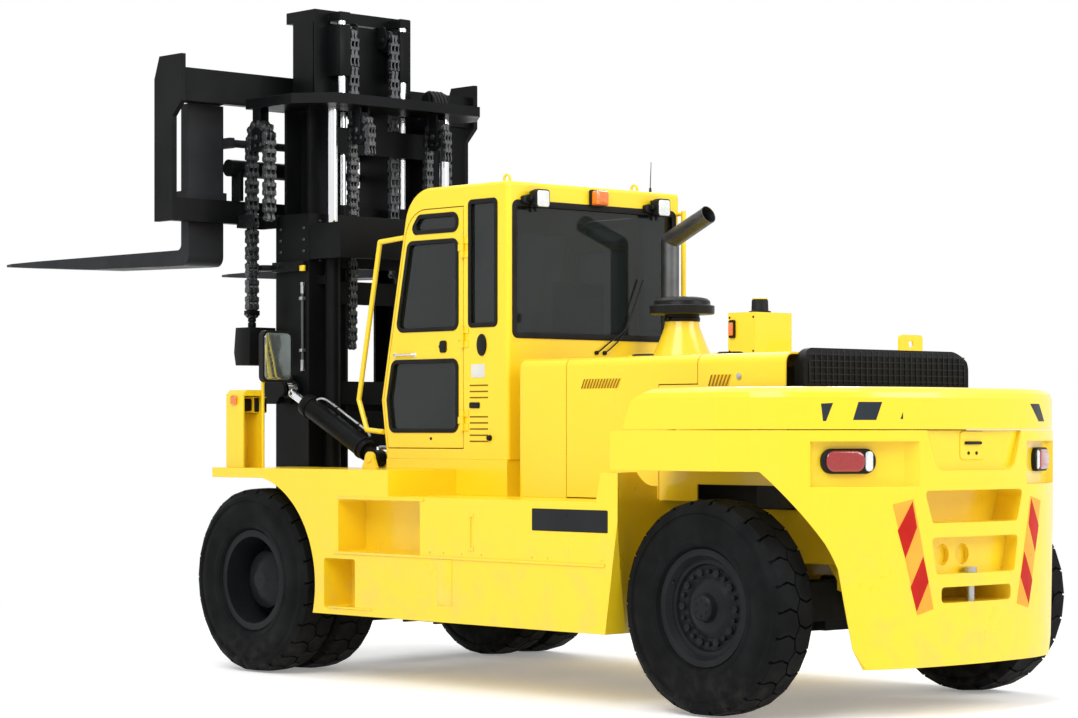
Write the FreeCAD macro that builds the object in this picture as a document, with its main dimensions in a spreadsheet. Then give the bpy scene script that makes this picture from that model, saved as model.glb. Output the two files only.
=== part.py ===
import FreeCAD, Part
import math
import os
import Sketcher

# Heavy counterbalanced forklift truck, diesel, about 18 t lift, twin front tyres, three-stage mast.
# Frame: forks towards -Y, counterweight towards +Y, the machine's left towards +X, ground at Z = 0.
# Every length is in millimetres. Sizes live in the sheet named "sizes".

V = FreeCAD.Vector
doc = FreeCAD.newDocument("forklift")
sheet = doc.addObject("Spreadsheet::Sheet", "sizes")
SUB_PARTS = []


class Size:
    """A length together with the sheet formula that gives it."""

    def __init__(self, value, formula):
        self.value = float(value)
        self.formula = formula

    def join(self, other, sign, flip=False):
        other = as_size(other)
        a, b = (other, self) if flip else (self, other)
        if sign == "+":
            value = a.value + b.value
        elif sign == "-":
            value = a.value - b.value
        elif sign == "*":
            value = a.value * b.value
        else:
            value = a.value / b.value
        return Size(value, f"({a.formula} {sign} {b.formula})")

    def __add__(self, other):
        return self.join(other, "+")

    def __radd__(self, other):
        return self.join(other, "+", True)

    def __sub__(self, other):
        return self.join(other, "-")

    def __rsub__(self, other):
        return self.join(other, "-", True)

    def __mul__(self, other):
        return self.join(other, "*")

    def __rmul__(self, other):
        return self.join(other, "*", True)

    def __truediv__(self, other):
        return self.join(other, "/")

    def __neg__(self):
        return Size(-self.value, f"(0 - {self.formula})")


class Sizes:
    """The sheet's cells, one alias for each driving dimension."""

    def __init__(self):
        self.rows = {}

    def add(self, **values):
        for name, value in values.items():
            row = len(self.rows) + 1
            sheet.set(f"A{row}", f"'{name}")
            sheet.set(f"B{row}", f"{value:g}")
            sheet.setAlias(f"B{row}", name)
            self.rows[name] = Size(value, f"sizes.{name}")

    def __getattr__(self, name):
        return self.rows[name]


S = Sizes()


def as_size(number):
    if isinstance(number, Size):
        return number
    return Size(number, f"{float(number):.9g}" if number >= 0 else f"(0 - {abs(float(number)):.9g})")


def value_of(number):
    return number.value if isinstance(number, Size) else float(number)


def bind(item, prop, number):
    """Sets a property to a size and ties it to the sheet."""
    if isinstance(number, Size):
        item.setExpression(prop, number.formula)


def place(item, x, y, z, rotation=None):
    item.Placement = FreeCAD.Placement(
        V(value_of(x), value_of(y), value_of(z)), rotation or FreeCAD.Rotation()
    )
    bind(item, ".Placement.Base.x", x)
    bind(item, ".Placement.Base.y", y)
    bind(item, ".Placement.Base.z", z)


def sub_part(item, label):
    """Makes an object one of the truck's pieces, under its own name."""
    item.Label = label
    SUB_PARTS.append(item)
    return item


# ---------------------------------------------------------------- sketches and features


def circle(x, y, radius):
    return ("circle", x, y, radius)


def rect(x0, y0, x1, y1):
    return [(x0, y0), (x1, y0), (x1, y1), (x0, y1)]


def rounded(points, radius):
    """Rounds every corner of an outline whose sides run along the two axes."""
    out = []
    count = len(points)
    for i, point in enumerate(points):
        before = points[i - 1]
        after = points[(i + 1) % count]
        px, py = value_of(point[0]), value_of(point[1])
        ux, uy = value_of(before[0]) - px, value_of(before[1]) - py
        wx, wy = value_of(after[0]) - px, value_of(after[1]) - py
        su = (math.copysign(1, ux) if abs(ux) > 1e-6 else 0, math.copysign(1, uy) if abs(uy) > 1e-6 else 0)
        sw = (math.copysign(1, wx) if abs(wx) > 1e-6 else 0, math.copysign(1, wy) if abs(wy) > 1e-6 else 0)
        turn = -ux * wy + uy * wx
        out.append((point[0] + radius * su[0], point[1] + radius * su[1], radius if turn > 0 else -radius))
        out.append((point[0] + radius * sw[0], point[1] + radius * sw[1]))
    return out


def blunt(points, radius):
    """Rounds every corner of an outline drawn counter-clockwise, whatever the corner's angle."""
    out = []
    count = len(points)
    for i, point in enumerate(points):
        spots = [
            (value_of(spot[0]), value_of(spot[1])) for spot in (points[i - 1], point,
            points[(i + 1) % count])
        ]
        before = math.dist(spots[0], spots[1])
        after = math.dist(spots[1], spots[2])
        dot = (
            (spots[1][0] - spots[0][0]) * (spots[2][0] - spots[1][0])
            + (spots[1][1] - spots[0][1]) * (spots[2][1] - spots[1][1])
        ) / (before * after)
        reach = value_of(radius) * math.tan(math.acos(dot) / 2)
        start = (
            point[0] + (points[i - 1][0] - point[0]) * (reach / before),
            point[1] + (points[i - 1][1] - point[1]) * (reach / before),
        )
        out.append((start[0], start[1], radius))
        out.append((
            point[0] + (points[(i + 1) % count][0] - point[0]) * (reach / after),
            point[1] + (points[(i + 1) % count][1] - point[1]) * (reach / after),
        ))
    return out


def round_edges(body, radius, chosen):
    """Rounds a body's edges. "chosen" says of an edge's middle whether the edge is one of them."""
    doc.recompute()
    tip = body.Tip
    names = []
    for i, edge in enumerate(tip.Shape.Edges):
        middle = edge.valueAt((edge.FirstParameter + edge.LastParameter) / 2)
        if chosen(middle):
            names.append(f"Edge{i + 1}")
    item = body.newObject("PartDesign::Fillet", body.Name + "_rounds")
    item.Base = (tip, names)
    item.Radius = value_of(radius)
    bind(item, "Radius", radius)
    return item


def sketch(body, plane, at, loops, open_path=False):
    """A sketch on one of the body's planes, moved along its axis to "at".

    Every corner is tied to the sheet.
    """
    sk = body.newObject("Sketcher::SketchObject", body.Name + "_sketch")
    datum = [f for f in body.Origin.OriginFeatures if f.Role == plane + "_Plane"][0]
    sk.AttachmentSupport = (datum, [""])
    sk.MapMode = "FlatFace"
    offset = -as_size(at) if plane == "XZ" else as_size(at)
    sk.AttachmentOffset = FreeCAD.Placement(V(0, 0, offset.value), FreeCAD.Rotation())
    if isinstance(at, Size):
        sk.setExpression(".AttachmentOffset.Base.z", offset.formula)
    for loop in loops:
        if isinstance(loop, tuple) and loop[0] == "circle":
            add_circle(sk, loop)
        else:
            add_outline(sk, loop, open_path)
    return sk


def tie_point(sk, kind, geo, point, number):
    index = sk.addConstraint(Sketcher.Constraint(kind, -1, 1, geo, point, value_of(number)))
    if isinstance(number, Size):
        sk.setExpression(f"Constraints[{index}]", number.formula)


def add_circle(sk, loop):
    x, y, radius = loop[1:]
    geo = sk.addGeometry(Part.Circle(V(value_of(x), value_of(y), 0), V(0, 0, 1), value_of(radius)), False)
    tie_point(sk, "DistanceX", geo, 3, x)
    tie_point(sk, "DistanceY", geo, 3, y)
    index = sk.addConstraint(Sketcher.Constraint("Radius", geo, value_of(radius)))
    if isinstance(radius, Size):
        sk.setExpression(f"Constraints[{index}]", radius.formula)


def add_outline(sk, points, open_path):
    """Lines and arcs from point to point. A third number on a point bends the side that leaves it: the arc's
    radius, positive when the side turns left."""
    count = len(points)
    last = count - 1 if open_path else count
    ends = []
    for i in range(last):
        p = points[i]
        q = points[(i + 1) % count]
        a = V(value_of(p[0]), value_of(p[1]), 0)
        b = V(value_of(q[0]), value_of(q[1]), 0)
        if len(p) == 3:
            radius = abs(value_of(p[2]))
            left = value_of(p[2]) > 0
            chord = b - a
            normal = V(-chord.y, chord.x, 0).normalize()
            rise = math.sqrt(max(radius**2 - (chord.Length / 2) ** 2, 0))
            centre = (a + b) / 2 + normal * (rise if left else -rise)
            first, second = (a, b) if left else (b, a)
            start = math.atan2(first.y - centre.y, first.x - centre.x)
            end = math.atan2(second.y - centre.y, second.x - centre.x)
            arc = Part.ArcOfCircle(Part.Circle(centre, V(0, 0, 1), radius), start, end)
            geo = sk.addGeometry(arc, False)
            ends.append((geo, 1, 2) if left else (geo, 2, 1))
            half_circle = chord.Length > 1.98 * radius
            if half_circle and abs(chord.x) > abs(chord.y):
                tie_point(sk, "DistanceY", geo, 3, (as_size(p[1]) + q[1]) / 2)
            elif half_circle:
                tie_point(sk, "DistanceX", geo, 3, (as_size(p[0]) + q[0]) / 2)
            else:
                bend = as_size(p[2]) if left else -as_size(p[2])
                index = sk.addConstraint(Sketcher.Constraint("Radius", geo, radius))
                sk.setExpression(f"Constraints[{index}]", bend.formula)
        else:
            geo = sk.addGeometry(Part.LineSegment(a, b), False)
            ends.append((geo, 1, 2))
    for i in range(len(ends)):
        if i + 1 < len(ends) or not open_path:
            after = ends[(i + 1) % len(ends)]
            sk.addConstraint(Sketcher.Constraint("Coincident", ends[i][0], ends[i][2], after[0], after[1]))
    for i in range(count):
        if i < len(ends):
            geo, point = ends[i][0], ends[i][1]
        else:
            geo, point = ends[-1][0], ends[-1][2]
        tie_point(sk, "DistanceX", geo, point, points[i][0])
        tie_point(sk, "DistanceY", geo, point, points[i][1])


def new_body(name):
    return doc.addObject("PartDesign::Body", name)


def pad(body, plane, at, loops, length):
    """Adds material from "at" along the plane's axis, towards + X, Y or Z."""
    feature = body.newObject("PartDesign::Pad", body.Name + "_pad")
    feature.Profile = sketch(body, plane, at, loops)
    feature.Length = value_of(length)
    feature.Reversed = plane == "XZ"
    bind(feature, "Length", length)
    return feature


def pocket(body, plane, at, loops, length):
    """Takes material away from "at" along the plane's axis, towards + X, Y or Z."""
    feature = body.newObject("PartDesign::Pocket", body.Name + "_pocket")
    feature.Profile = sketch(body, plane, at, loops)
    feature.Length = value_of(length)
    feature.Reversed = plane != "XZ"
    bind(feature, "Length", length)
    return feature


def spin(body, loops, groove=False):
    """Turns an outline drawn as (distance along X, radius) about the body's own X axis."""
    kind = "PartDesign::Groove" if groove else "PartDesign::Revolution"
    feature = body.newObject(kind, body.Name + "_turned")
    feature.Profile = sketch(body, "XZ", 0, loops)
    feature.ReferenceAxis = (feature.Profile[0], ["H_Axis"])
    feature.Angle = 360
    return feature


def ring_of_studs(body, at, length, pitch_radius, radius, count):
    """Nuts standing on a disc that turns about X."""
    first = pad(body, "YZ", at, [circle(0, pitch_radius, radius)], length)
    pattern = body.newObject("PartDesign::PolarPattern", body.Name + "_studs")
    pattern.Originals = [first]
    axis = [f for f in body.Origin.OriginFeatures if f.Role == "X_Axis"][0]
    pattern.Axis = (axis, [""])
    pattern.Angle = 360
    pattern.Occurrences = count
    body.Tip = pattern
    return pattern


# ---------------------------------------------------------------- plain solids and booleans


def box(name, x0, x1, y0, y1, z0, z1):
    item = doc.addObject("Part::Box", name)
    for prop, low, high in (("Length", x0, x1), ("Width", y0, y1), ("Height", z0, z1)):
        length = as_size(high) - low
        setattr(item, prop, length.value)
        item.setExpression(prop, length.formula)
    place(item, x0, y0, z0)
    return item


TURNS = {
    "X": FreeCAD.Rotation(V(0, 1, 0), 90),
    "Y": FreeCAD.Rotation(V(1, 0, 0), -90),
    "Z": FreeCAD.Rotation(),
}


def rod(name, axis, x, y, z, length, radius):
    """A cylinder that starts at a point and runs along + X, Y or Z."""
    item = doc.addObject("Part::Cylinder", name)
    item.Radius = value_of(radius)
    item.Height = value_of(length)
    bind(item, "Radius", radius)
    bind(item, "Height", length)
    place(item, x, y, z, TURNS[axis])
    return item


def fuse(name, items):
    item = doc.addObject("Part::MultiFuse", name)
    item.Shapes = items
    item.Refine = True
    return item


def cut(name, base, tool):
    item = doc.addObject("Part::Cut", name)
    item.Base = base
    item.Tool = tool
    return item


def mirrored(name, source):
    """The same piece for the machine's right side."""
    item = doc.addObject("Part::Mirroring", name)
    item.Source = source
    item.Normal = V(1, 0, 0)
    return item


def both(maker, name):
    """Makes a mast piece on the left and its twin on the right."""
    left = maker(name)
    return [left, mirrored(name + "_twin", left)]


def pair(source, label):
    """Names a left piece and adds its right twin."""
    sub_part(source, label + "_left")
    sub_part(mirrored(label + "_right_side", source), label + "_right")


# ---------------------------------------------------------------- wheels

S.add(
    wheelbase=4110, front_axle_y=-825, tyre_radius=615, tyre_width=326, tread_half=115, shoulder_half=141,
    shoulder_drop=13, sidewall_bend=262, bead_radius=305, bead_half=110, flange_radius=335, flange_thick=12,
    rim_wall=15, dual_spacing=349, dual_middle_x=1028.5, rear_tyre_x=1149, shaft_gap=0.3, stud_radius=14,
)
rear_axle_y = S.front_axle_y + S.wheelbase
axle_z = S.tyre_radius
dual_half = S.dual_spacing / 2


def tyre(name, x, y):
    body = new_body(name)
    half = S.tyre_width / 2
    flank = -(half - (half - S.shoulder_half))
    spin(body, [[
        (-S.bead_half, S.bead_radius),
        (S.bead_half, S.bead_radius),
        (S.bead_half, S.flange_radius, S.sidewall_bend),
        (S.shoulder_half, S.tyre_radius - S.shoulder_drop),
        (S.tread_half, S.tyre_radius),
        (-S.tread_half, S.tyre_radius),
        (flank, S.tyre_radius - S.shoulder_drop, S.sidewall_bend),
        (-S.bead_half, S.flange_radius),
    ]])
    place(body, x, y, axle_z)
    return body


for side, sign in (("left", 1), ("right", -1)):
    for place_name, offset in (("outer", dual_half), ("inner", -dual_half)):
        label = f"front_tyre_{side}_{place_name}"
        sub_part(tyre(label, sign * (S.dual_middle_x + offset), S.front_axle_y), label)
    label = f"rear_tyre_{side}"
    sub_part(tyre(label, sign * S.rear_tyre_x, rear_axle_y), label)

S.add(
    front_spindle_radius=90, front_spindle_depth=220, hub_radius=150, disc_in=10, disc_out=34,
    spacer_drop=5,
    planet_radius=215, planet_face=180, planet_out=215, hub_end=240, planet_tip=60, front_stud_ring=252,
    front_stud_count=10, stud_length=26,
)
tube_radius = S.bead_radius - S.rim_wall
rim_out = S.bead_half + S.flange_thick


def front_rim(name):
    """Both rims of a twin wheel on one hub.

    The disc is deep inside the outer rim, with the planet gear case on it.
    """
    body = new_body(name)
    spin(body, [[
        (dual_half + rim_out, tube_radius),
        (dual_half + rim_out, S.flange_radius),
        (dual_half + S.bead_half, S.flange_radius),
        (dual_half + S.bead_half, S.bead_radius),
        (dual_half - S.bead_half, S.bead_radius),
        (dual_half - S.bead_half, S.flange_radius),
        (dual_half - rim_out, S.flange_radius),
        (dual_half - rim_out, S.bead_radius - S.spacer_drop),
        (rim_out - dual_half, S.bead_radius - S.spacer_drop),
        (rim_out - dual_half, S.flange_radius),
        (S.bead_half - dual_half, S.flange_radius),
        (S.bead_half - dual_half, S.bead_radius),
        (-dual_half - S.bead_half, S.bead_radius),
        (-dual_half - S.bead_half, S.flange_radius),
        (-dual_half - rim_out, S.flange_radius),
        (-dual_half - rim_out, tube_radius),
        (S.disc_in, tube_radius),
        (S.disc_in, S.hub_radius),
        (-S.front_spindle_depth, S.hub_radius),
        (-S.front_spindle_depth, S.front_spindle_radius + S.shaft_gap),
        (-20, S.front_spindle_radius + S.shaft_gap),
        (-20, 0),
        (S.hub_end, 0),
        (S.hub_end, S.planet_tip),
        (S.planet_out, S.planet_tip * 2),
        (S.planet_face, S.planet_radius - 25),
        (S.disc_out + 20, S.planet_radius),
        (S.disc_out, S.planet_radius),
        (S.disc_out, tube_radius),
    ]])
    ring_of_studs(body, S.disc_out, S.stud_length, S.front_stud_ring, S.stud_radius,
        int(S.front_stud_count.value))
    place(body, S.dual_middle_x, S.front_axle_y, axle_z)
    return body


pair(front_rim("front_rim"), "front_rim")

S.add(
    rear_spindle_radius=70, rear_hub_in=-60, rear_spindle_end=15, rear_disc_in=42, rear_disc_out=60,
    rear_step_radius=250, rear_ring_radius=175, rear_cap_radius=85, rear_cap_tip=62, rear_cap_end=140,
    rear_stud_ring=205, rear_stud_count=10,
)


def rear_rim(name):
    """The steered wheel's rim: stepped rings round a hub cap that stands well out."""
    body = new_body(name)
    spin(body, [[
        (rim_out, tube_radius + 8),
        (rim_out, S.flange_radius),
        (S.bead_half, S.flange_radius),
        (S.bead_half, S.bead_radius),
        (-S.bead_half, S.bead_radius),
        (-S.bead_half, S.flange_radius),
        (-rim_out, S.flange_radius),
        (-rim_out, tube_radius),
        (S.rear_disc_in, tube_radius),
        (S.rear_disc_in, S.rear_spindle_radius + 50),
        (S.rear_hub_in, S.rear_spindle_radius + 50),
        (S.rear_hub_in, S.rear_spindle_radius + S.shaft_gap),
        (S.rear_spindle_end + 5, S.rear_spindle_radius + S.shaft_gap),
        (S.rear_spindle_end + 5, 0),
        (S.rear_cap_end, 0),
        (S.rear_cap_end, S.rear_cap_tip),
        (S.rear_cap_end - 12, S.rear_cap_tip + 12),
        (S.rear_disc_out + 30, S.rear_cap_radius),
        (S.rear_disc_out + 18, S.rear_cap_radius + 55),
        (S.rear_disc_out, S.rear_ring_radius),
        (S.rear_disc_out, S.rear_step_radius - 8),
        (S.rear_disc_out + 22, S.rear_step_radius),
        (S.rear_disc_out + 22, S.rear_step_radius + 22),
    ]])
    ring_of_studs(body, S.rear_disc_out, S.stud_length, S.rear_stud_ring, S.stud_radius,
        int(S.rear_stud_count.value))
    place(body, S.rear_tyre_x, rear_axle_y, axle_z)
    return body


pair(rear_rim("rear_rim"), "rear_rim")

# ---------------------------------------------------------------- drive axle

S.add(
    axle_case_radius=225, axle_case_half=190, axle_tube_radius=100, axle_taper_x=270, brake_in_x=700,
    brake_out_x=790, brake_radius=232, brake_lip=30,
)
spindle_end = S.dual_middle_x - 25
front_axle = new_body("front_axle")
half_axle = [
    (0, S.axle_case_radius),
    (S.axle_case_half, S.axle_case_radius - 25),
    (S.axle_taper_x, S.axle_tube_radius),
    (S.brake_in_x, S.axle_tube_radius),
    (S.brake_in_x, S.brake_radius - S.brake_lip),
    (S.brake_in_x + S.brake_lip, S.brake_radius),
    (S.brake_out_x, S.brake_radius),
    (S.brake_out_x, S.front_spindle_radius),
    (spindle_end, S.front_spindle_radius),
]
spin(front_axle, [
    [(-spindle_end, 0)]
    + [(-x, r) for x, r in reversed(half_axle[1:])]
    + half_axle
    + [(spindle_end, 0)]
])
place(front_axle, 0, S.front_axle_y, axle_z)
sub_part(front_axle, "front_axle")

# ---------------------------------------------------------------- steering axle, knuckles and cylinder

S.add(
    kingpin_x=880, kingpin_radius=35, kingpin_half=150, yoke_radius=85, yoke_gap_half=70, yoke_thick=48,
    steer_beam_half_y=110, steer_beam_low=505, steer_beam_high=735, steer_neck_x=665, trunnion_radius=75,
    trunnion_half_y=300, knuckle_boss_radius=78, steer_arm_reach=230, steer_arm_x=830,
    steer_arm_thick=30, steer_eye_radius=38, steer_barrel_radius=50, steer_barrel_half=380,
    steer_rod_radius=25,
    steer_rod_half=735, steer_cylinder_y=3085, steer_cylinder_z=470,
)
beam = new_body("steer_beam")
beam_plan = [
    (-S.steer_neck_x, rear_axle_y - 80), (-300, rear_axle_y - S.steer_beam_half_y),
    (300, rear_axle_y - S.steer_beam_half_y), (S.steer_neck_x, rear_axle_y - 80),
    (S.steer_neck_x, rear_axle_y + 80), (300, rear_axle_y + S.steer_beam_half_y),
    (-300, rear_axle_y + S.steer_beam_half_y), (-S.steer_neck_x, rear_axle_y + 80),
]
pad(beam, "XY", S.steer_beam_low, [beam_plan], S.steer_beam_high - S.steer_beam_low)
yoke_parts = [beam]
yoke_low = axle_z - S.yoke_gap_half - S.yoke_thick
yoke_high = axle_z + S.yoke_gap_half
for side, sign in (("left", 1), ("right", -1)):
    for level, z in (("low", yoke_low), ("high", yoke_high)):
        ear = new_body(f"yoke_{level}_{side}")
        x = sign * S.kingpin_x
        neck = sign * S.steer_neck_x
        outline = [
            (neck, rear_axle_y - 80), (x, rear_axle_y - S.yoke_radius, sign * S.yoke_radius),
            (x, rear_axle_y + S.yoke_radius), (neck, rear_axle_y + 80),
        ]
        pad(ear, "XY", z, [outline], S.yoke_thick)
        yoke_parts.append(ear)
    yoke_parts.append(rod(
        f"kingpin_{side}", "Z", sign * S.kingpin_x, rear_axle_y, axle_z - S.kingpin_half,
        S.kingpin_half * 2, S.kingpin_radius,
    ))
yoke_parts.append(rod(
    "steer_trunnion", "Y", 0, rear_axle_y - S.trunnion_half_y, S.steer_beam_high - 60,
    S.trunnion_half_y * 2, S.trunnion_radius,
))
barrel_outside = rod(
    "steer_barrel_outside", "X", -S.steer_barrel_half, S.steer_cylinder_y, S.steer_cylinder_z,
    S.steer_barrel_half * 2, S.steer_barrel_radius,
)
barrel_saddle = box(
    "steer_barrel_saddle", -160, 160, S.steer_cylinder_y, rear_axle_y - 60, S.steer_cylinder_z - 40,
    S.steer_beam_low + 20,
)
barrel_bore = rod(
    "steer_barrel_bore", "X", -S.steer_barrel_half - 10, S.steer_cylinder_y, S.steer_cylinder_z,
    S.steer_barrel_half * 2 + 20, S.steer_rod_radius + S.shaft_gap,
)
steer_whole = fuse("steer_axle_whole", yoke_parts + [barrel_outside, barrel_saddle])
sub_part(cut("steer_axle", steer_whole, barrel_bore), "steer_axle")
sub_part(rod(
    "steer_rod", "X", -S.steer_rod_half, S.steer_cylinder_y, S.steer_cylinder_z, S.steer_rod_half * 2,
    S.steer_rod_radius,
), "steer_rod")

knuckle_block = rod(
    "knuckle_block", "Z", S.kingpin_x, rear_axle_y, axle_z - S.yoke_gap_half + 1, S.yoke_gap_half * 2 - 2,
    S.knuckle_boss_radius,
)
knuckle_spindle = rod(
    "knuckle_spindle", "X", S.kingpin_x, rear_axle_y, axle_z,
    S.rear_tyre_x + S.rear_spindle_end - S.kingpin_x,
    S.rear_spindle_radius - 8,
)
knuckle_journal = rod(
    "knuckle_journal", "X", S.rear_tyre_x + S.rear_hub_in - 40, rear_axle_y, axle_z,
    S.rear_spindle_end - S.rear_hub_in + 40, S.rear_spindle_radius,
)
arm = new_body("knuckle_arm")
arm_end_y = rear_axle_y - S.steer_arm_reach
pad(arm, "XY", axle_z - S.yoke_gap_half + 1, [[
    (S.kingpin_x + 40, rear_axle_y),
    (S.steer_arm_x + S.steer_eye_radius, arm_end_y, -S.steer_eye_radius),
    (S.steer_arm_x - S.steer_eye_radius, arm_end_y),
    (S.kingpin_x - 60, rear_axle_y),
]], S.steer_arm_thick)
knuckle_bore = rod(
    "knuckle_bore", "Z", S.kingpin_x, rear_axle_y, axle_z - S.kingpin_half, S.kingpin_half * 2,
    S.kingpin_radius + S.shaft_gap,
)
pair(
    cut(
        "knuckle", fuse("knuckle_whole", [knuckle_block, knuckle_spindle, knuckle_journal, arm]),
        knuckle_bore
    ), "knuckle",
)

# ---------------------------------------------------------------- chassis

S.add(
    side_x=1350, frame_half=440, frame_plate=60, arch_radius=700, sill_z=430, walkway_z=1200,
    platform_low=1300, platform_high=1365, platform_front=-1245, platform_rear=615, box_rear=2577,
    wheel_well=765, arm_inner=860, step_depth=230, step_high_top=1170, step_high_low=825,
    step_high_front=115,
    step_high_rear=925, step_low_top=790, step_low_low=470, step_low_front=-30, step_low_rear=285,
    rail_low=560, rail_high=1150, rail_front=-1000, kick_y=2300, rail_rear_low=840,
    counterweight_front=3585,
    cross_front=-340, cross_rear=-90, belly_front=1750, tank_wall=10, ear_thick=24, ear_gap=96,
    tilt_pin_x=750, tilt_pin_y=-215,
    tilt_pin_z=1430, tilt_pin_radius=28,
)
inner_plate = S.frame_half - S.frame_plate
frame_parts = []
rail_outline = [
    (S.rail_front, S.rail_low + 200), (S.rail_front + 60, S.rail_low),
    (S.kick_y, S.rail_low), (S.kick_y + 330, S.rail_rear_low), (S.counterweight_front, S.rail_rear_low),
    (S.counterweight_front, S.rail_high), (S.rail_front, S.rail_high),
]
for side, sign in (("left", 1), ("right", -1)):
    rail = new_body(f"rail_{side}")
    start = inner_plate if sign > 0 else -S.frame_half
    pad(rail, "YZ", start, [rail_outline], S.frame_plate)
    pocket(rail, "YZ", start, [circle(S.front_axle_y, axle_z, S.axle_tube_radius)], S.frame_plate)
    frame_parts.append(rail)
frame_parts.append(box(
    "cross_member", -inner_plate, inner_plate, S.cross_front, S.cross_rear, S.rail_high - 160, S.rail_high,
))
frame_parts.append(box(
    "belly_cross", -inner_plate, inner_plate, S.belly_front, S.belly_front + 120, S.rail_low + 20,
    S.rail_low + 120,
))
for end, y in (("front", rear_axle_y - S.trunnion_half_y - 10), ("rear",
    rear_axle_y + S.steer_beam_half_y + 40)):
    hanger = new_body(f"trunnion_hanger_{end}")
    top = S.rail_rear_low + 40
    centre_z = S.steer_beam_high - 60
    pad(hanger, "XZ", y, [[
        (-inner_plate, S.rail_rear_low), (-150, centre_z - 110), (150, centre_z - 110),
        (inner_plate, S.rail_rear_low), (inner_plate, top), (-inner_plate, top),
    ]], 110)
    pocket(hanger, "XZ", y, [circle(0, centre_z, S.trunnion_radius + S.shaft_gap)], 110)
    frame_parts.append(hanger)
sub_part(fuse("main_frame", frame_parts), "main_frame")

side_box = new_body("side_box_body")
pad(side_box, "YZ", S.frame_half, [[
    (S.platform_front, S.platform_low),
    (S.front_axle_y + 135, S.platform_low, -S.arch_radius),
    (S.front_axle_y + 676, S.sill_z),
    (S.box_rear, S.sill_z),
    (S.box_rear + 67, 867),
    (S.box_rear + 149, 1371),
    (2540, 1371),
    (2500, S.walkway_z),
    (S.platform_rear, S.walkway_z),
    (S.platform_rear, S.platform_high),
    (S.platform_front, S.platform_high),
]], S.side_x - S.frame_half)
pocket(side_box, "XY", 200, [circle(S.kingpin_x, rear_axle_y, S.wheel_well)], 1300)
pocket(side_box, "YZ", S.side_x - S.step_depth, [
    rounded(rect(S.step_high_front, S.step_high_low, S.step_high_rear, S.step_high_top), 20),
    rounded(rect(S.step_low_front, S.step_low_low, S.step_low_rear, S.step_low_top), 20),
], S.step_depth)
pocket(side_box, "XY", S.walkway_z, [rect(
    S.frame_half - 1, S.platform_rear + 1500, S.arm_inner, S.box_rear + 160,
)], 200)
pocket(side_box, "XY", S.sill_z - 10, [rect(
    S.frame_half - 1, S.platform_front - 1, S.tilt_pin_x - 60, S.cross_front - 60,
)], S.platform_high)
tank_space = box(
    "tank_space", S.frame_half + S.tank_wall, S.side_x - S.step_depth - 20,
    S.front_axle_y + S.arch_radius + 65,
    S.box_rear - 97, S.sill_z + S.tank_wall, S.walkway_z - S.tank_wall,
)
pair(cut("side_box", side_box, tank_space), "side_box")

ear_outline = [
    (S.tilt_pin_y - 75, S.platform_high), (S.tilt_pin_y - 45, S.tilt_pin_z, -45), (S.tilt_pin_y + 45,
    S.tilt_pin_z),
    (S.tilt_pin_y + 75, S.platform_high),
]
ears = []
for side, x in (
    ("in", S.tilt_pin_x - S.ear_gap / 2 - S.ear_thick),
    ("out", S.tilt_pin_x + S.ear_gap / 2),
):
    ear = new_body(f"tilt_ear_{side}")
    pad(ear, "YZ", x, [ear_outline], S.ear_thick)
    ears.append(ear)
ears.append(rod(
    "tilt_base_pin", "X", S.tilt_pin_x - S.ear_gap / 2 - S.ear_thick - 8, S.tilt_pin_y, S.tilt_pin_z,
    S.ear_gap + 2 * S.ear_thick + 16, S.tilt_pin_radius,
))
bracket = fuse("tilt_bracket", ears)
sub_part(fuse("tilt_brackets", [bracket, mirrored("tilt_bracket_twin", bracket)]), "tilt_brackets")

# ---------------------------------------------------------------- counterweight and tail cover

S.add(
    tail_y=4235, seam_z=1617, ballast_low=290, ballast_low_half=820, ballast_bend_half=925,
    ballast_bend_z=440,
    chin_rear=3980, chin_top=700, arm_front=2625, arm_low=1387,
     engine_bay_rear=3585, bay_half=470, slot_half=446, slot_low_half=382, slot_high=1278, slot_low=1095,
    pocket_half=392, pocket_low_half=352, pocket_high=1014, pocket_low=807, hitch_half=314,
    hitch_high=733, hitch_low=644,
    pocket_depth=90, hitch_depth=420, pin_radius=24, pin_y=4178, lamp_in=600, lamp_out=1040,
    lamp_low=1305, lamp_high=1555, latch_half=464, latch_low_half=345, latch_round=80, latch_low=1392,
    recess_y=3915, recess_run=228, latch_depth=35,
    port_radius=60, port_near=14, port_far=194, slot_round=26,
)


S.add(
    cover_low=1622, cover_high=1860, cover_inset=4, cover_wall=30, cover_skin=14, cover_front_low=2720,
    cover_front_high=2955, cover_gap_half=872, cover_round=60, cover_gap_rear=3640, cover_hinge_y=2690,
    cover_hinge_z=1645, cover_pin=8, cover_lug_x=900, cover_lug_wide=30,
)


def tail_outline(inset, front):
    """The rounded tail in plan, drawn from the left arm round the back to the right arm."""
    right = [
        (S.side_x + 10 - inset, front),
        (S.side_x - inset, S.tail_y - 800, 2600),
        (1300 - inset, S.tail_y - 570, 620),
        (1030 - inset, S.tail_y - 250 - inset, 1150),
        (500 - inset, S.tail_y - 30 - inset, 4180),
    ]
    left = [
        (-(500 - inset), S.tail_y - 30 - inset, 1150),
        (-(1030 - inset), S.tail_y - 250 - inset, 620),
        (-(1300 - inset), S.tail_y - 570, 2600),
        (-(S.side_x - inset), S.tail_y - 800),
        (-(S.side_x + 10 - inset), front),
    ]
    return right + left


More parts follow.
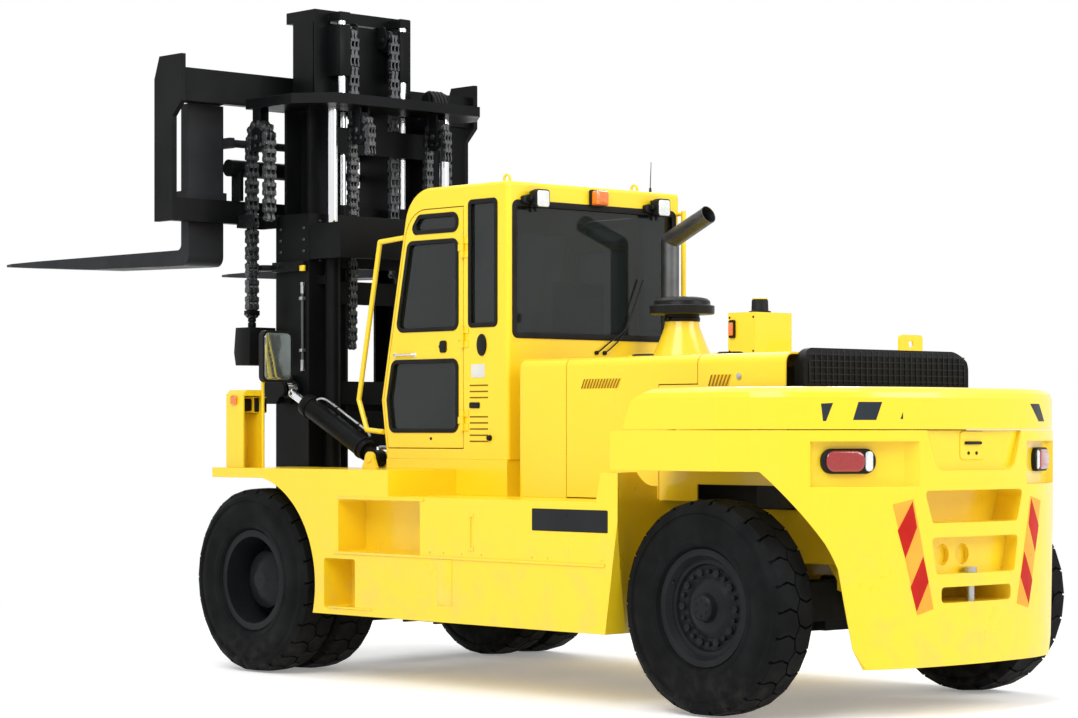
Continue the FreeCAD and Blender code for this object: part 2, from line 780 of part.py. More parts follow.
ballast = new_body("ballast")
pad(ballast, "XY", S.ballast_low, [tail_outline(0, S.arm_front)], S.seam_z - S.ballast_low)
pocket(ballast, "XY", S.ballast_low - 1, [
    rect(-S.arm_inner, S.arm_front - 1, S.arm_inner, S.engine_bay_rear),
], S.seam_z - S.ballast_low + 2)
arch_outline = [
    (S.arm_front - 60, S.ballast_low - 20), (rear_axle_y + 798, S.ballast_low - 20),
    (rear_axle_y + 741, 847, 1050), (rear_axle_y + 434, S.arm_low), (S.arm_front - 60, S.arm_low),
]
pocket(ballast, "YZ", S.bay_half, [arch_outline], 1000)
pocket(ballast, "YZ", -S.bay_half - 1000, [arch_outline], 1000)
for sign in (1, -1):
    pocket(ballast, "XZ", S.tail_y - 600, [[
        (sign * S.ballast_low_half, S.ballast_low - 10), (sign * S.ballast_bend_half, S.ballast_bend_z),
        (sign * 1030, 760), (sign * 1330, 1000), (sign * 1400, S.ballast_low - 10),
    ]], 600)
pocket(ballast, "YZ", -S.bay_half - 1, [[
    (S.engine_bay_rear - 1, S.ballast_low - 10), (S.chin_rear, S.ballast_low - 10),
    (S.chin_rear - 80, S.chin_top - 100), (S.engine_bay_rear - 1, S.chin_top),
]], S.bay_half * 2 + 2)
pocket(ballast, "XZ", S.tail_y - 200, [blunt([
    (-S.slot_low_half, S.slot_low), (S.slot_low_half, S.slot_low), (S.slot_half, S.slot_high),
    (-S.slot_half, S.slot_high),
], S.slot_round)], 210)
pocket(ballast, "XZ", S.tail_y - S.pocket_depth - 15, [blunt([
    (-S.pocket_low_half, S.pocket_low), (S.pocket_low_half, S.pocket_low), (S.pocket_half, S.pocket_high),
    (-S.pocket_half, S.pocket_high),
], S.slot_round)], S.pocket_depth + 20)
pocket(ballast, "XZ", S.tail_y - S.pocket_depth - 45, [
    circle(S.port_near, (S.pocket_low + S.pocket_high) / 2, S.port_radius),
    circle(S.port_far, (S.pocket_low + S.pocket_high) / 2, S.port_radius),
], 60)
pocket(ballast, "XZ", S.tail_y - S.hitch_depth, [rounded(rect(
    -S.hitch_half, S.hitch_low, S.hitch_half, S.hitch_high), 25)], S.hitch_depth + 10)
pocket(ballast, "XY", S.hitch_low - 120, [circle(0, S.pin_y, S.pin_radius + S.shaft_gap)], 700)
pocket(ballast, "XZ", S.tail_y - S.latch_depth - 12, [blunt([
    (-S.latch_low_half, S.latch_low), (S.latch_low_half, S.latch_low), (S.latch_half, S.seam_z + 100),
    (-S.latch_half, S.seam_z + 100),
], S.latch_round)], S.latch_depth + 20)
for sign in (1, -1):
    pocket(ballast, "XY", S.lamp_low, [[
        (sign * (S.lamp_out + 20), S.recess_y), (sign * (S.lamp_in - 60), S.recess_y + S.recess_run),
        (sign * (S.lamp_in - 190), S.tail_y + 60), (sign * (S.lamp_out + 260), S.tail_y + 60),
        (sign * (S.lamp_out + 90), S.recess_y + 40),
    ]], S.lamp_high - S.lamp_low)


def cover_lug(name):
    """A lug on the arm's top that carries the tail cover's hinge pin."""
    block = box(
        name + "_block", S.cover_lug_x, S.cover_lug_x + S.cover_lug_wide, S.cover_hinge_y - 25,
        S.cover_hinge_y + 22, S.seam_z, S.cover_hinge_z + 22,
    )
    pin = rod(
        name + "_pin", "X", S.cover_lug_x, S.cover_hinge_y, S.cover_hinge_z, S.cover_lug_wide + 30,
        S.cover_pin,
    )
    return fuse(name, [block, pin])


sub_part(fuse("counterweight", [ballast] + both(cover_lug, "cover_lug")), "counterweight")

tow_shank = rod("tow_shank", "Z", 0, S.pin_y, S.hitch_low - 119, S.pocket_low - S.hitch_low + 121,
    S.pin_radius)
tow_knob = rod("tow_knob", "Z", 0, S.pin_y, S.pocket_low + 0.5, 30, S.pin_radius + 14)
sub_part(fuse("tow_pin", [tow_shank, tow_knob]), "tow_pin")

cover = new_body("tail_cover")
cover_bend_z = S.cover_high - S.cover_round
pad(cover, "XY", S.cover_low, [tail_outline(S.cover_inset, S.cover_front_low)], cover_bend_z - S.cover_low)
rings = []
for degrees in (0, 30, 60, 90):
    drawn_in = S.cover_round * (1 - math.cos(math.radians(degrees)))
    up = S.cover_round * math.sin(math.radians(degrees))
    rings.append(sketch(cover, "XY", cover_bend_z + up, [tail_outline(
        S.cover_inset + drawn_in, S.cover_front_low)]))
cover_edge = cover.newObject("PartDesign::AdditiveLoft", "tail_cover_edge")
cover_edge.Profile = rings[0]
cover_edge.Sections = rings[1:]
cover_edge.Ruled = True
pocket(cover, "XY", S.cover_low - 1, [tail_outline(
    S.cover_inset + S.cover_wall, S.cover_front_low + S.cover_wall)],
    S.cover_high - S.cover_low - S.cover_round)
pocket(cover, "XY", S.cover_low - 1, [tail_outline(
    S.cover_inset + S.cover_round + S.cover_skin, S.cover_front_low + S.cover_round + S.cover_skin)],
    S.cover_high - S.cover_low - S.cover_skin)
pocket(cover, "XY", S.cover_low - 2, [rect(
    -S.cover_gap_half, S.cover_front_low - 5, S.cover_gap_half, S.cover_gap_rear,
)], S.cover_high - S.cover_low + 4)
pocket(cover, "YZ", -1500, [[
    (S.cover_front_low - 10, S.cover_low - 1), (S.cover_front_low, S.cover_low - 1),
    (S.cover_front_low + 70, 1790), (S.cover_front_high, S.cover_high + 1), (S.cover_front_low - 10,
    S.cover_high + 1),
]], 3000)


def cover_ear(name):
    """An ear on the cover's front wall, bored for the pin that stands in the counterweight's lug."""
    x = S.cover_lug_x + S.cover_lug_wide + S.shaft_gap
    block = box(
        name + "_block", x, x + 25, S.cover_hinge_y - 14, S.cover_front_low + 45, S.cover_hinge_z - 13,
        S.cover_hinge_z + 13,
    )
    hole = rod(name + "_hole", "X", x - 1, S.cover_hinge_y, S.cover_hinge_z, 27, S.cover_pin + S.shaft_gap)
    return cut(name, block, hole)


sub_part(fuse("rear_hood", [cover] + both(cover_ear, "cover_ear")), "rear_hood")

# ---------------------------------------------------------------- engine bay

S.add(
    hood_half=820, hood_top=2065, hood_front=1240, hood_front_rear=1690, hood_rear_front=2815,
    hood_rear=3500,
    hood_low=1206, hood_rear_low=1300, hood_skin=12, door_step_y=2495, door_step_z=1885, nose_round=50,
    spine_half=420, hood_round=60, engine_half=330,
    engine_front=1500, engine_rear=2900, engine_low=760, engine_top=1880, fan_rear=3060, core_half=600,
    core_front=3080, core_rear=3250, core_low=1160, core_high=1990, grille_half=745, grille_low=1870,
    grille_rear=3575, grille_top=2090, grille_round=120, grille_drop=60, grille_thick=14, hinge_radius=9,
    hinge_long=40,
)


def hood_shell(name, front, rear, low):
    body = new_body(name)
    half = S.hood_half
    inner = S.hood_half - S.hood_skin
    top = S.hood_top
    pad(body, "XZ", front, [[
        (-half, low), (half, low), (half, top - S.hood_round, S.hood_round),
        (half - S.hood_round, top), (-half + S.hood_round, top, S.hood_round), (-half, top - S.hood_round),
    ]], rear - front)
    pocket(body, "XZ", front, [[
        (-inner, low - 1), (inner, low - 1),
        (inner, top - S.hood_round, S.hood_round - S.hood_skin), (half - S.hood_round, top - S.hood_skin),
        (-half + S.hood_round, top - S.hood_skin, S.hood_round - S.hood_skin), (-inner, top - S.hood_round),
    ]], rear - front)
    return body


hood = hood_shell("hood_shell", S.hood_front + S.hood_round, S.hood_rear, S.walkway_z)
hood_nose = new_body("hood_nose")
pad(hood_nose, "XZ", S.hood_front, [[
    (-S.hood_half, S.walkway_z), (S.hood_half, S.walkway_z), (S.hood_half, S.hood_top - S.hood_round,
    S.hood_round),
    (S.hood_half - S.hood_round, S.hood_top), (-S.hood_half + S.hood_round, S.hood_top, S.hood_round),
    (-S.hood_half, S.hood_top - S.hood_round),
]], S.hood_round)
round_edges(hood_nose, S.nose_round, lambda middle: (
    middle.y < S.hood_front.value + 1 and middle.z > S.walkway_z.value + 1
))
pocket(hood_nose, "XZ", S.hood_front + S.hood_skin, [rect(
    -S.hood_half + S.hood_round, S.walkway_z - 1, S.hood_half - S.hood_round, S.hood_top - S.hood_round,
)], S.hood_round - S.hood_skin + 1)
hood_whole = fuse("hood_whole", [hood, hood_nose])


def door_prism(name, start, reach, gap):
    """The room of a hood door in side view.

    Its rear end is shorter below, to swing clear of the tail cover.
    """
    body = new_body(name)
    pad(body, "YZ", start, [[
        (S.hood_front_rear + gap, S.walkway_z - 10), (S.door_step_y - gap, S.walkway_z - 10),
        (S.door_step_y - gap, S.door_step_z + gap), (S.hood_rear_front - gap, S.door_step_z + gap),
        (S.hood_rear_front - gap, S.hood_top + 60), (S.hood_front_rear + gap, S.hood_top + 60),
    ]], reach)
    return body


openings = [
    door_prism("hood_opening_left", S.spine_half, S.hood_half - S.spine_half + 50, 0),
    door_prism("hood_opening_right", -S.hood_half - 50, S.hood_half - S.spine_half + 50, 0),
]
openings.append(box(
    "hood_over_wheels", -S.hood_half - 50, S.hood_half + 50, S.hood_rear_front - 10, S.hood_rear + 10,
    S.walkway_z - 10, S.hood_rear_low,
))
hood_cut = cut("hood_cut", hood_whole, fuse("hood_openings", openings))
hinge_x = S.spine_half + 3
hinge_z = S.hood_top + S.hinge_radius + 1
hinge_places = [S.hood_front_rear + 150, S.hood_rear_front - 250]


def hood_hinge(name, start, reach, inward):
    """One knuckle of a hood door's hinge with its leaf on the panel."""
    barrel = rod(name + "_knuckle", "Y", hinge_x, start, hinge_z, reach, S.hinge_radius)
    near, far = (hinge_x - 50, hinge_x) if inward else (hinge_x + 1, hinge_x + 50)
    leaf = box(name + "_leaf", near, far, start, start + reach, S.hood_top, S.hood_top + 5)
    return fuse(name, [barrel, leaf])


hood_hinges = []
for k, y in enumerate(hinge_places):
    for m, start in enumerate((y, y + 2 * S.hinge_long)):
        hood_hinges += both(lambda name, start=start: hood_hinge(name, start, S.hinge_long, True),
        f"hood_hinge_{k}{m}")
sub_part(fuse("engine_hood", [hood_cut] + hood_hinges), "engine_hood")

door_shell = hood_shell("hood_door_shell", S.hood_front_rear, S.hood_rear_front, S.hood_low)
door_keep = door_prism("hood_door_keep", S.spine_half + 6, S.hood_half - S.spine_half + 50, 6)
hood_panel = doc.addObject("Part::Common", "hood_door_panel")
hood_panel.Base = door_shell
hood_panel.Tool = door_keep
hood_door = fuse("engine_door", [hood_panel] + [
    hood_hinge(f"door_hinge_{k}", y + S.hinge_long + S.shaft_gap, S.hinge_long - 2 * S.shaft_gap, False)
    for k, y in enumerate(hinge_places)
])
pair(hood_door, "engine_door")

engine_block = box(
    "engine_block", -S.engine_half, S.engine_half, S.engine_front, S.engine_rear, S.engine_low,
    S.engine_top,
)
engine_mount_front = box(
    "engine_mount_front", -inner_plate, inner_plate, S.engine_front + 80, S.engine_front + 180,
    S.engine_low + 60,
    S.engine_low + 150,
)
engine_mount_rear = box(
    "engine_mount_rear", -inner_plate, inner_plate, S.engine_rear - 520, S.engine_rear - 420,
    S.engine_low + 100,
    S.engine_low + 190,
)
fan_hub = rod("fan_hub", "Y", 0, S.engine_rear, 1500, S.fan_rear - S.engine_rear - 20, 70)
fan_disc = rod("fan_disc", "Y", 0, S.fan_rear - 70, 1500, 50, 340)
sub_part(fuse("engine", [engine_block, engine_mount_front, engine_mount_rear, fan_hub, fan_disc]), "engine")

core = box("radiator_core", -S.core_half, S.core_half, S.core_front, S.core_rear, S.core_low, S.core_high)
core_foot = box(
    "radiator_foot", -inner_plate, inner_plate, S.core_front + 20, S.core_rear - 20, S.rail_high,
    S.core_low,
)
sub_part(fuse("radiator", [core, core_foot]), "radiator")


def grille_profile(inset):
    """The grille's outline seen from behind, drawn in by a set thickness."""
    half = S.grille_half - inset
    top = S.grille_top - inset
    bend = S.grille_round - inset
    return [
        (-half, S.grille_low), (half, S.grille_low), (half, top - bend, bend), (half - bend, top),
        (-half + bend, top, bend), (-half, top - bend),
    ]


grille = new_body("radiator_grille")
grille_front = S.hood_rear + 0.5
pad(grille, "XZ", grille_front, [grille_profile(0)], S.grille_rear - grille_front)
pocket(grille, "YZ", -S.grille_half - 1, [[
    (S.grille_rear - 40, S.grille_top + 1), (S.grille_rear, S.grille_top - S.grille_drop),
    (S.grille_rear + 1, S.grille_top + 1),
]], S.grille_half * 2 + 2)
pocket(grille, "XZ", grille_front, [grille_profile(S.grille_thick)], S.grille_rear - grille_front - 44)
pocket(grille, "XZ", grille_front, [rect(
    -S.grille_half + S.grille_round, S.grille_low - 1, S.grille_half - S.grille_round,
    S.grille_top - S.grille_drop - S.grille_thick,
)], S.grille_rear - grille_front - S.grille_thick)
sub_part(grille, "radiator_grille")

S.add(
    exhaust_x=-463, exhaust_y=1330, exhaust_radius=60, exhaust_elbow_z=2860, exhaust_reach=380,
    exhaust_lean=66,
    exhaust_wall=4, cleaner_x=100, cleaner_y=1986, cleaner_cone=180, cleaner_neck=105,
    cleaner_cone_top=2300,
    cleaner_cap=205, cleaner_cap_low=2340, cleaner_cap_high=2455, hood_case_x=100, hood_case_y=2645,
    hood_case_half_x=165, hood_case_half_y=110, hood_case_top=2330, 
)
riser = rod("exhaust_riser", "Z", S.exhaust_x, S.exhaust_y, S.hood_top, S.exhaust_elbow_z - S.hood_top,
    S.exhaust_radius)
bend = doc.addObject("Part::Sphere", "exhaust_bend")
bend.Radius = S.exhaust_radius.value
bind(bend, "Radius", S.exhaust_radius)
place(bend, S.exhaust_x, S.exhaust_y, S.exhaust_elbow_z)
flange = rod("exhaust_flange", "Z", S.exhaust_x, S.exhaust_y, S.hood_top, 14, S.exhaust_radius + 30)


def elbow_rod(name, radius, reach):
    """A bar from the exhaust's bend, leaning rearward."""
    item = rod(name, "Z", S.exhaust_x, S.exhaust_y, S.exhaust_elbow_z, reach, radius)
    place(
        item, S.exhaust_x, S.exhaust_y, S.exhaust_elbow_z, FreeCAD.Rotation(V(-1, 0, 0),
        value_of(S.exhaust_lean)),
    )
    item.setExpression(".Placement.Rotation.Angle", S.exhaust_lean.formula)
    return item


elbow = elbow_rod("exhaust_elbow", S.exhaust_radius, S.exhaust_reach)
exhaust_whole = fuse("exhaust_whole", [riser, bend, elbow, flange])
exhaust_bore = elbow_rod("exhaust_bore", S.exhaust_radius - S.exhaust_wall, S.exhaust_reach + 40)
sub_part(cut("exhaust_stack_open", exhaust_whole, exhaust_bore), "exhaust_stack")


cleaner = new_body("air_precleaner")
cleaner_turn = cleaner.newObject("PartDesign::Revolution", "precleaner_turned")
cleaner_turn.Profile = sketch(cleaner, "XZ", 0, [[
    (0, 0), (S.cleaner_cone + 15, 0), (S.cleaner_cone + 15, 20), (S.cleaner_cone, 30),
    (S.cleaner_neck, S.cleaner_cone_top - S.hood_top), (S.cleaner_neck - 10,
    S.cleaner_cap_low - S.hood_top),
    (S.cleaner_cap, S.cleaner_cap_low - S.hood_top), (S.cleaner_cap, S.cleaner_cap_high - S.hood_top - 15),
    (S.cleaner_cap - 15, S.cleaner_cap_high - S.hood_top), (0, S.cleaner_cap_high - S.hood_top),
]])
cleaner_turn.ReferenceAxis = (cleaner_turn.Profile[0], ["V_Axis"])
cleaner_turn.Angle = 360
place(cleaner, S.cleaner_x, S.cleaner_y, S.hood_top)
sub_part(cleaner, "air_precleaner")

case_low = box(
    "case_low", S.hood_case_x - S.hood_case_half_x, S.hood_case_x + S.hood_case_half_x,
    S.hood_case_y - S.hood_case_half_y, S.hood_case_y + S.hood_case_half_y, S.hood_top, S.hood_case_top,
)
case_lamp = rod("case_lamp", "Z", S.hood_case_x, S.hood_case_y, S.hood_case_top, 90, 45)
sub_part(fuse("hood_case", [case_low, case_lamp]), "hood_case")

# ---------------------------------------------------------------- cab

S.add(
    cab_half=780, cab_wall=45, cab_floor=1430, cab_roof=3200, cab_rear=1110, cab_low_y=-92, cab_nose_y=-148,
    cab_nose_z=1818, cab_brow_y=98, cab_brow_z=3000, cab_top_y=344, cab_brow_round=252, cab_edge_round=28,
    pillar=34, window_half=700, rear_glass_half=735, door_brow_z=2890, door_brow_run=200,
    door_brow_round=207,
    door_rear=685, door_low=1503, door_high=3055, door_thick=40, door_gap=6, rear_glass_low=2208,
    rear_glass_high=3075, quarter_front=743, quarter_rear=1011, quarter_low=2280, quarter_high=3090,
    glass_thick=6, wind_low=1520, wind_high=2960, roof_window_half=480, roof_window_front=360,
    roof_window_rear=880, cab_hinge_radius=13, cab_hinge_long=45,
)
cab_in = S.cab_half - S.cab_wall
cab = new_body("cab_box")
pad(cab, "YZ", -S.cab_half, [[
    (S.cab_low_y, S.cab_floor), (S.cab_rear, S.cab_floor), (S.cab_rear, S.cab_roof),
    (S.cab_top_y, S.cab_roof, S.cab_brow_round), (S.cab_brow_y, S.cab_brow_z), (S.cab_nose_y, S.cab_nose_z),
]], S.cab_half * 2)
round_edges(cab, S.cab_edge_round, lambda middle: (
    middle.z > S.cab_floor.value + 1 and abs(middle.x) > 1
    or middle.z > S.cab_roof.value - 1 and middle.y > S.cab_rear.value - 1
))
pocket(cab, "YZ", -cab_in, [[
    (S.cab_low_y + S.cab_wall + 8, S.cab_floor + S.cab_wall), (S.cab_rear - S.cab_wall,
    S.cab_floor + S.cab_wall),
    (S.cab_rear - S.cab_wall, S.cab_roof - 70), (S.cab_top_y, S.cab_roof - 70),
    (S.cab_brow_y + S.cab_wall + 10, S.cab_brow_z - 30), (S.cab_nose_y + S.cab_wall, S.cab_nose_z),
]], cab_in * 2)


rake = (S.cab_brow_y - S.cab_nose_y) / (S.cab_brow_z - S.cab_nose_z)


def front_at(z):
    """Where the cab's raked front stands at a height."""
    return S.cab_nose_y + rake * (z - S.cab_nose_z)


def door_outline(edge, rear, low, high):
    """The door's outline in side view. Its front edge follows the cab's raked front at a set distance."""
    brow = front_at(S.door_brow_z) + edge
    return [
        (S.cab_low_y - 10 + edge, low), (rear, low), (rear, high),
        (brow + S.door_brow_run, high, S.door_brow_round), (brow, S.door_brow_z), (S.cab_nose_y + edge,
        S.cab_nose_z),
    ]


opening_outline = door_outline(
    S.pillar, S.door_rear + S.door_gap, S.door_low - S.door_gap, S.door_high + S.door_gap,
)
for start in (cab_in, -S.cab_half):
    pocket(cab, "YZ", start, [opening_outline], S.cab_wall)
    pocket(cab, "YZ", start, [rounded(rect(
        S.quarter_front, S.quarter_low, S.quarter_rear, S.quarter_high), 30)], S.cab_wall)
pocket(cab, "XZ", S.cab_rear - S.cab_wall, [rounded(rect(
    -S.rear_glass_half, S.rear_glass_low, S.rear_glass_half, S.rear_glass_high), 40)], S.cab_wall)
pocket(cab, "XZ", S.cab_nose_y - 20, [rect(
    -S.window_half, S.wind_low, S.window_half, S.wind_high)], front_at(S.wind_high) - S.cab_nose_y + 100)
pocket(cab, "XY", S.cab_roof - 70, [rounded(rect(
    -S.roof_window_half, S.roof_window_front, S.roof_window_half, S.roof_window_rear), 30)], 70)
cab_hinge_x = S.cab_half + S.cab_hinge_radius
cab_hinge_y = S.door_rear + S.door_gap
cab_hinge_places = [S.door_low + 110, S.cab_nose_z + 330, S.door_high - 330]


def cab_hinge(name, low, reach, on_door):
    """One knuckle of a cab door's hinge with its leaf."""
    barrel = rod(name + "_knuckle", "Z", cab_hinge_x, cab_hinge_y, low, reach, S.cab_hinge_radius)
    near, far = (cab_hinge_y - 50, cab_hinge_y - 1) if on_door else (cab_hinge_y, cab_hinge_y + 50)
    leaf = box(name + "_leaf", S.cab_half, S.cab_half + 6, near, far, low, low + reach)
    return fuse(name, [barrel, leaf])


cab_hinges = []
for k, z in enumerate(cab_hinge_places):
    for m, low in enumerate((z, z + 2 * S.cab_hinge_long)):
        cab_hinges += both(
            lambda name, low=low: cab_hinge(name, low, S.cab_hinge_long, False), f"cab_hinge_{k}{m}"
        )
sub_part(fuse("cab_shell", [cab] + cab_hinges), "cab_shell")

glass_parts = []
pane = new_body("windscreen")
pad(pane, "YZ", -S.window_half, [[
    (S.cab_low_y - 6, S.wind_low), (S.cab_low_y - 6 + S.glass_thick, S.wind_low),
    (S.cab_nose_y + 14 + S.glass_thick, S.cab_nose_z), (front_at(S.wind_high) + 14 + S.glass_thick,
    S.wind_high),
    (front_at(S.wind_high) + 14, S.wind_high), (S.cab_nose_y + 14, S.cab_nose_z),
]], S.window_half * 2)
glass_parts.append(pane)
pane = new_body("rear_window")
pad(pane, "XZ", S.cab_rear - S.cab_wall / 2, [rounded(rect(
    -S.rear_glass_half, S.rear_glass_low, S.rear_glass_half, S.rear_glass_high), 40)], S.glass_thick)
glass_parts.append(pane)
for side, start in (("left", S.cab_half - 18), ("right", -S.cab_half + 12)):
    pane = new_body(f"quarter_window_{side}")
    pad(pane, "YZ", start, [rounded(rect(
        S.quarter_front, S.quarter_low, S.quarter_rear, S.quarter_high), 30)], S.glass_thick)
    glass_parts.append(pane)
pane = new_body("roof_window")
pad(pane, "XY", S.cab_roof - 20, [rounded(rect(
    -S.roof_window_half, S.roof_window_front, S.roof_window_half, S.roof_window_rear), 30)], S.glass_thick)
glass_parts.append(pane)
sub_part(fuse("cab_glass", glass_parts), "cab_glass")

S.add(
    door_frame=36, lower_window_low=1606, lower_window_high=2075, main_window_low=2265,
    main_window_high=2852,
    top_window_low=2902, top_window_high=3022, window_round=50,
)
door_front = S.pillar + S.door_gap
frame_front = door_front + S.door_frame
window_rear = S.door_rear - S.door_frame - 12
windows = [
    blunt([
        (S.cab_nose_y + 30 + frame_front, S.lower_window_low), (window_rear, S.lower_window_low),
        (window_rear, S.lower_window_high), (front_at(S.lower_window_high) + frame_front,
        S.lower_window_high),
        (S.cab_nose_y + frame_front, S.cab_nose_z),
    ], S.window_round),
    blunt([
        (front_at(S.main_window_low) + frame_front, S.main_window_low), (window_rear, S.main_window_low),
        (window_rear, S.main_window_high), (front_at(S.main_window_high) + frame_front, S.main_window_high),
    ], S.window_round),
    blunt([
        (front_at(S.top_window_low) + frame_front, S.top_window_low), (window_rear, S.top_window_low),
        (window_rear, S.top_window_high), (front_at(S.top_window_high) + frame_front + 70,
        S.top_window_high),
    ], S.window_round),
]
cab_door = new_body("cab_door_frame")
pad(cab_door, "YZ", S.cab_half - S.door_thick, [door_outline(
    door_front, S.door_rear, S.door_low, S.door_high)], S.door_thick)
pocket(cab_door, "YZ", S.cab_half - S.door_thick, windows, S.door_thick)
cab_door_whole = fuse("cab_door", [cab_door] + [
    cab_hinge(f"cab_door_hinge_{k}", z + S.cab_hinge_long + S.shaft_gap,
        S.cab_hinge_long - 2 * S.shaft_gap, True)
    for k, z in enumerate(cab_hinge_places)
])
pair(cab_door_whole, "cab_door")
door_pane = new_body("door_glass")
pad(door_pane, "YZ", S.cab_half - S.door_thick / 2, windows, S.glass_thick)
pair(door_pane, "door_glass")

cab_base = new_body("cab_base_body")
pad(cab_base, "YZ", -S.cab_half, [[
    (S.cab_low_y + 10, S.platform_high), (S.platform_rear, S.platform_high), (S.platform_rear, S.walkway_z),
    (S.cab_rear - 5, S.walkway_z), (S.cab_rear - 5, S.cab_floor), (S.cab_low_y + 10, S.cab_floor),
]], S.cab_half * 2)
base_space = box(
    "cab_base_space", -S.cab_half + S.tank_wall, S.cab_half - S.tank_wall, S.platform_rear + S.tank_wall,
    S.cab_rear - 15, S.walkway_z + S.tank_wall, S.cab_floor - S.tank_wall,
)
sub_part(cut("cab_base", cab_base, base_space), "cab_base")

S.add(
    seat_y=640, seat_half=240, seat_z=1990, cushion_thick=110, seat_long=480, back_high=620, back_thick=120,
    base_half=190, column_y=270, wheel_radius=190, wheel_rim=14, column_radius=45, wheel_z=2130,
)
floor_top = S.cab_floor + S.cab_wall
seat_foot = box(
    "seat_foot", -S.base_half, S.base_half, S.seat_y - 200, S.seat_y + 200, floor_top, floor_top + 260,
)
seat_frame = box(
    "seat_frame", -S.seat_half + 30, S.seat_half - 30, S.seat_y - S.seat_long / 2 + 20,
    S.seat_y + S.seat_long / 2 + 30, floor_top + 260, S.seat_z - S.cushion_thick,
)
cushion = new_body("seat_cushion")
pad(cushion, "XY", S.seat_z - S.cushion_thick, [rounded(rect(
    -S.seat_half, S.seat_y - S.seat_long / 2, S.seat_half, S.seat_y + S.seat_long / 2), 60)],
    S.cushion_thick)
sub_part(cushion, "seat_cushion")
backrest = new_body("seat_back")
pad(backrest, "XZ", S.seat_y + S.seat_long / 2 + 1, [rounded(rect(
    -S.seat_half + 10, S.seat_z - S.cushion_thick, S.seat_half - 10, S.seat_z + S.back_high), 70)],
    S.back_thick)
sub_part(backrest, "seat_back")
post = rod("column_post", "Z", 0, S.column_y, floor_top, S.wheel_z - floor_top, S.column_radius)
dash = box("column_dash", -120, 120, S.column_y - 60, S.column_y + 60, S.wheel_z - 260, S.wheel_z - 60)
wheel_ring = doc.addObject("Part::Torus", "wheel_ring")
wheel_ring.Radius1 = S.wheel_radius.value
wheel_ring.Radius2 = S.wheel_rim.value
bind(wheel_ring, "Radius1", S.wheel_radius)
bind(wheel_ring, "Radius2", S.wheel_rim)
place(wheel_ring, 0, S.column_y, S.wheel_z)
spoke_x = box("wheel_spoke_x", -S.wheel_radius, S.wheel_radius, S.column_y - 14, S.column_y + 14,
              S.wheel_z - 6, S.wheel_z + 6)
spoke_y = box("wheel_spoke_y", -14, 14, S.column_y - S.wheel_radius, S.column_y, S.wheel_z - 6,
    S.wheel_z + 6)
console = box(
    "side_console", S.seat_half + 40, S.seat_half + 250, S.seat_y - 260, S.seat_y + 260, floor_top,
    S.seat_z + 90,
)
sub_part(fuse("cab_controls", [
    seat_foot, seat_frame, post, dash, wheel_ring, spoke_x, spoke_y, console,
]), "cab_controls")

# ---------------------------------------------------------------- mast

S.add(
    outer_x=660, outer_web=30, outer_flange=30, outer_tip_x=500, outer_front=-1435, outer_rear=-1065,
    mast_low=220, mast_high=3120, mid_x=455, mid_tip_x=618, mid_web=25, mid_front=-1393, mid_rear=-1107,
    mid_low=970, mid_high=3860, in_x=440, in_web=30, in_tip_x=300, in_flange=22, in_front=-1525,
    in_rear=-1275,
    in_low=1700, in_high=4500, head_thick=80, tie_thick=70, tie_rear=-755, tie_half=650, tie_arm_x=810,
    tie_arm_front=-1535, tie_gap_half=500, tie_gap_rear=-1115, lift_x=510, lift_y=-990, lift_radius=55,
    lift_wall=8, lift_rod_radius=38, lift_low=300, lift_high=2850, gland=60, lift_rod_low=1620, ram_x=276,
    ram_y=-1180, ram_radius=45, ram_rod_radius=30, ram_low=1200, ram_high=3200, ram_rod_low=2000,
    saddle_in_x=590, saddle_out_x=650, cross_low_z=275, cross_low_top=480, cross_mid_z=1500,
    cross_mid_top=1750, cross_high_z=2750, head_half=655, head_front=-745, head_rear=-725, head_low=2800,
    head_high=3085, head_cheek_high=3045, sheave_radius=100, sheave_x=349, sheave_y=-875, sheave_z=3700,
    sheave_half=28, pulley_y=-1415, pulley_z=3655, pulley_x=810,
)


def channel(name, near, far, web, front, rear, flange, low, high):
    """A mast rail: a channel seen from above. "near" is its web's outside, "far" the tips of its flanges."""
    body = new_body(name)
    web_edge = near - web if near.value > far.value else near + web
    pad(body, "XY", low, [[
        (near, front), (far, front), (far, front + flange), (web_edge, front + flange),
        (web_edge, rear - flange), (far, rear - flange), (far, rear), (near, rear),
    ]], high - low)
    return body


outer_parts = both(lambda name: channel(
    name, S.outer_x, S.outer_tip_x, S.outer_web, S.outer_front, S.outer_rear, S.outer_flange, S.mast_low,
    S.mast_high,
), "outer_rail")
for name, low, high in (
    ("low", S.cross_low_z, S.cross_low_top), ("mid", S.cross_mid_z, S.cross_mid_top),
    ("high", S.cross_high_z, S.mast_high),
):
    outer_parts.append(box(
        f"outer_cross_{name}", -S.outer_tip_x, S.outer_tip_x, S.outer_rear - 25, S.outer_rear, low, high,
    ))


outer_parts.append(box(
    "head_plate", -S.head_half, S.head_half, S.head_front, S.head_rear, S.head_low, S.head_high,
))


def head_cheek(name):
    return box(name, S.head_half - 40, S.head_half, S.outer_rear, S.head_rear, S.head_low,
        S.head_cheek_high)


outer_parts += both(head_cheek, "head_cheek")


def axle_saddle(name):
    body = new_body(name)
    reach = S.axle_tube_radius + 60
    pad(body, "YZ", S.saddle_in_x, [[
        (S.outer_rear, axle_z - 250), (S.front_axle_y, axle_z - reach, reach),
        (S.front_axle_y, axle_z + reach), (S.outer_rear, axle_z + 330),
    ]], S.saddle_out_x - S.saddle_in_x)
    pocket(body, "YZ", S.saddle_in_x, [circle(
        S.front_axle_y, axle_z, S.axle_tube_radius + S.shaft_gap)], S.saddle_out_x - S.saddle_in_x)
    return body


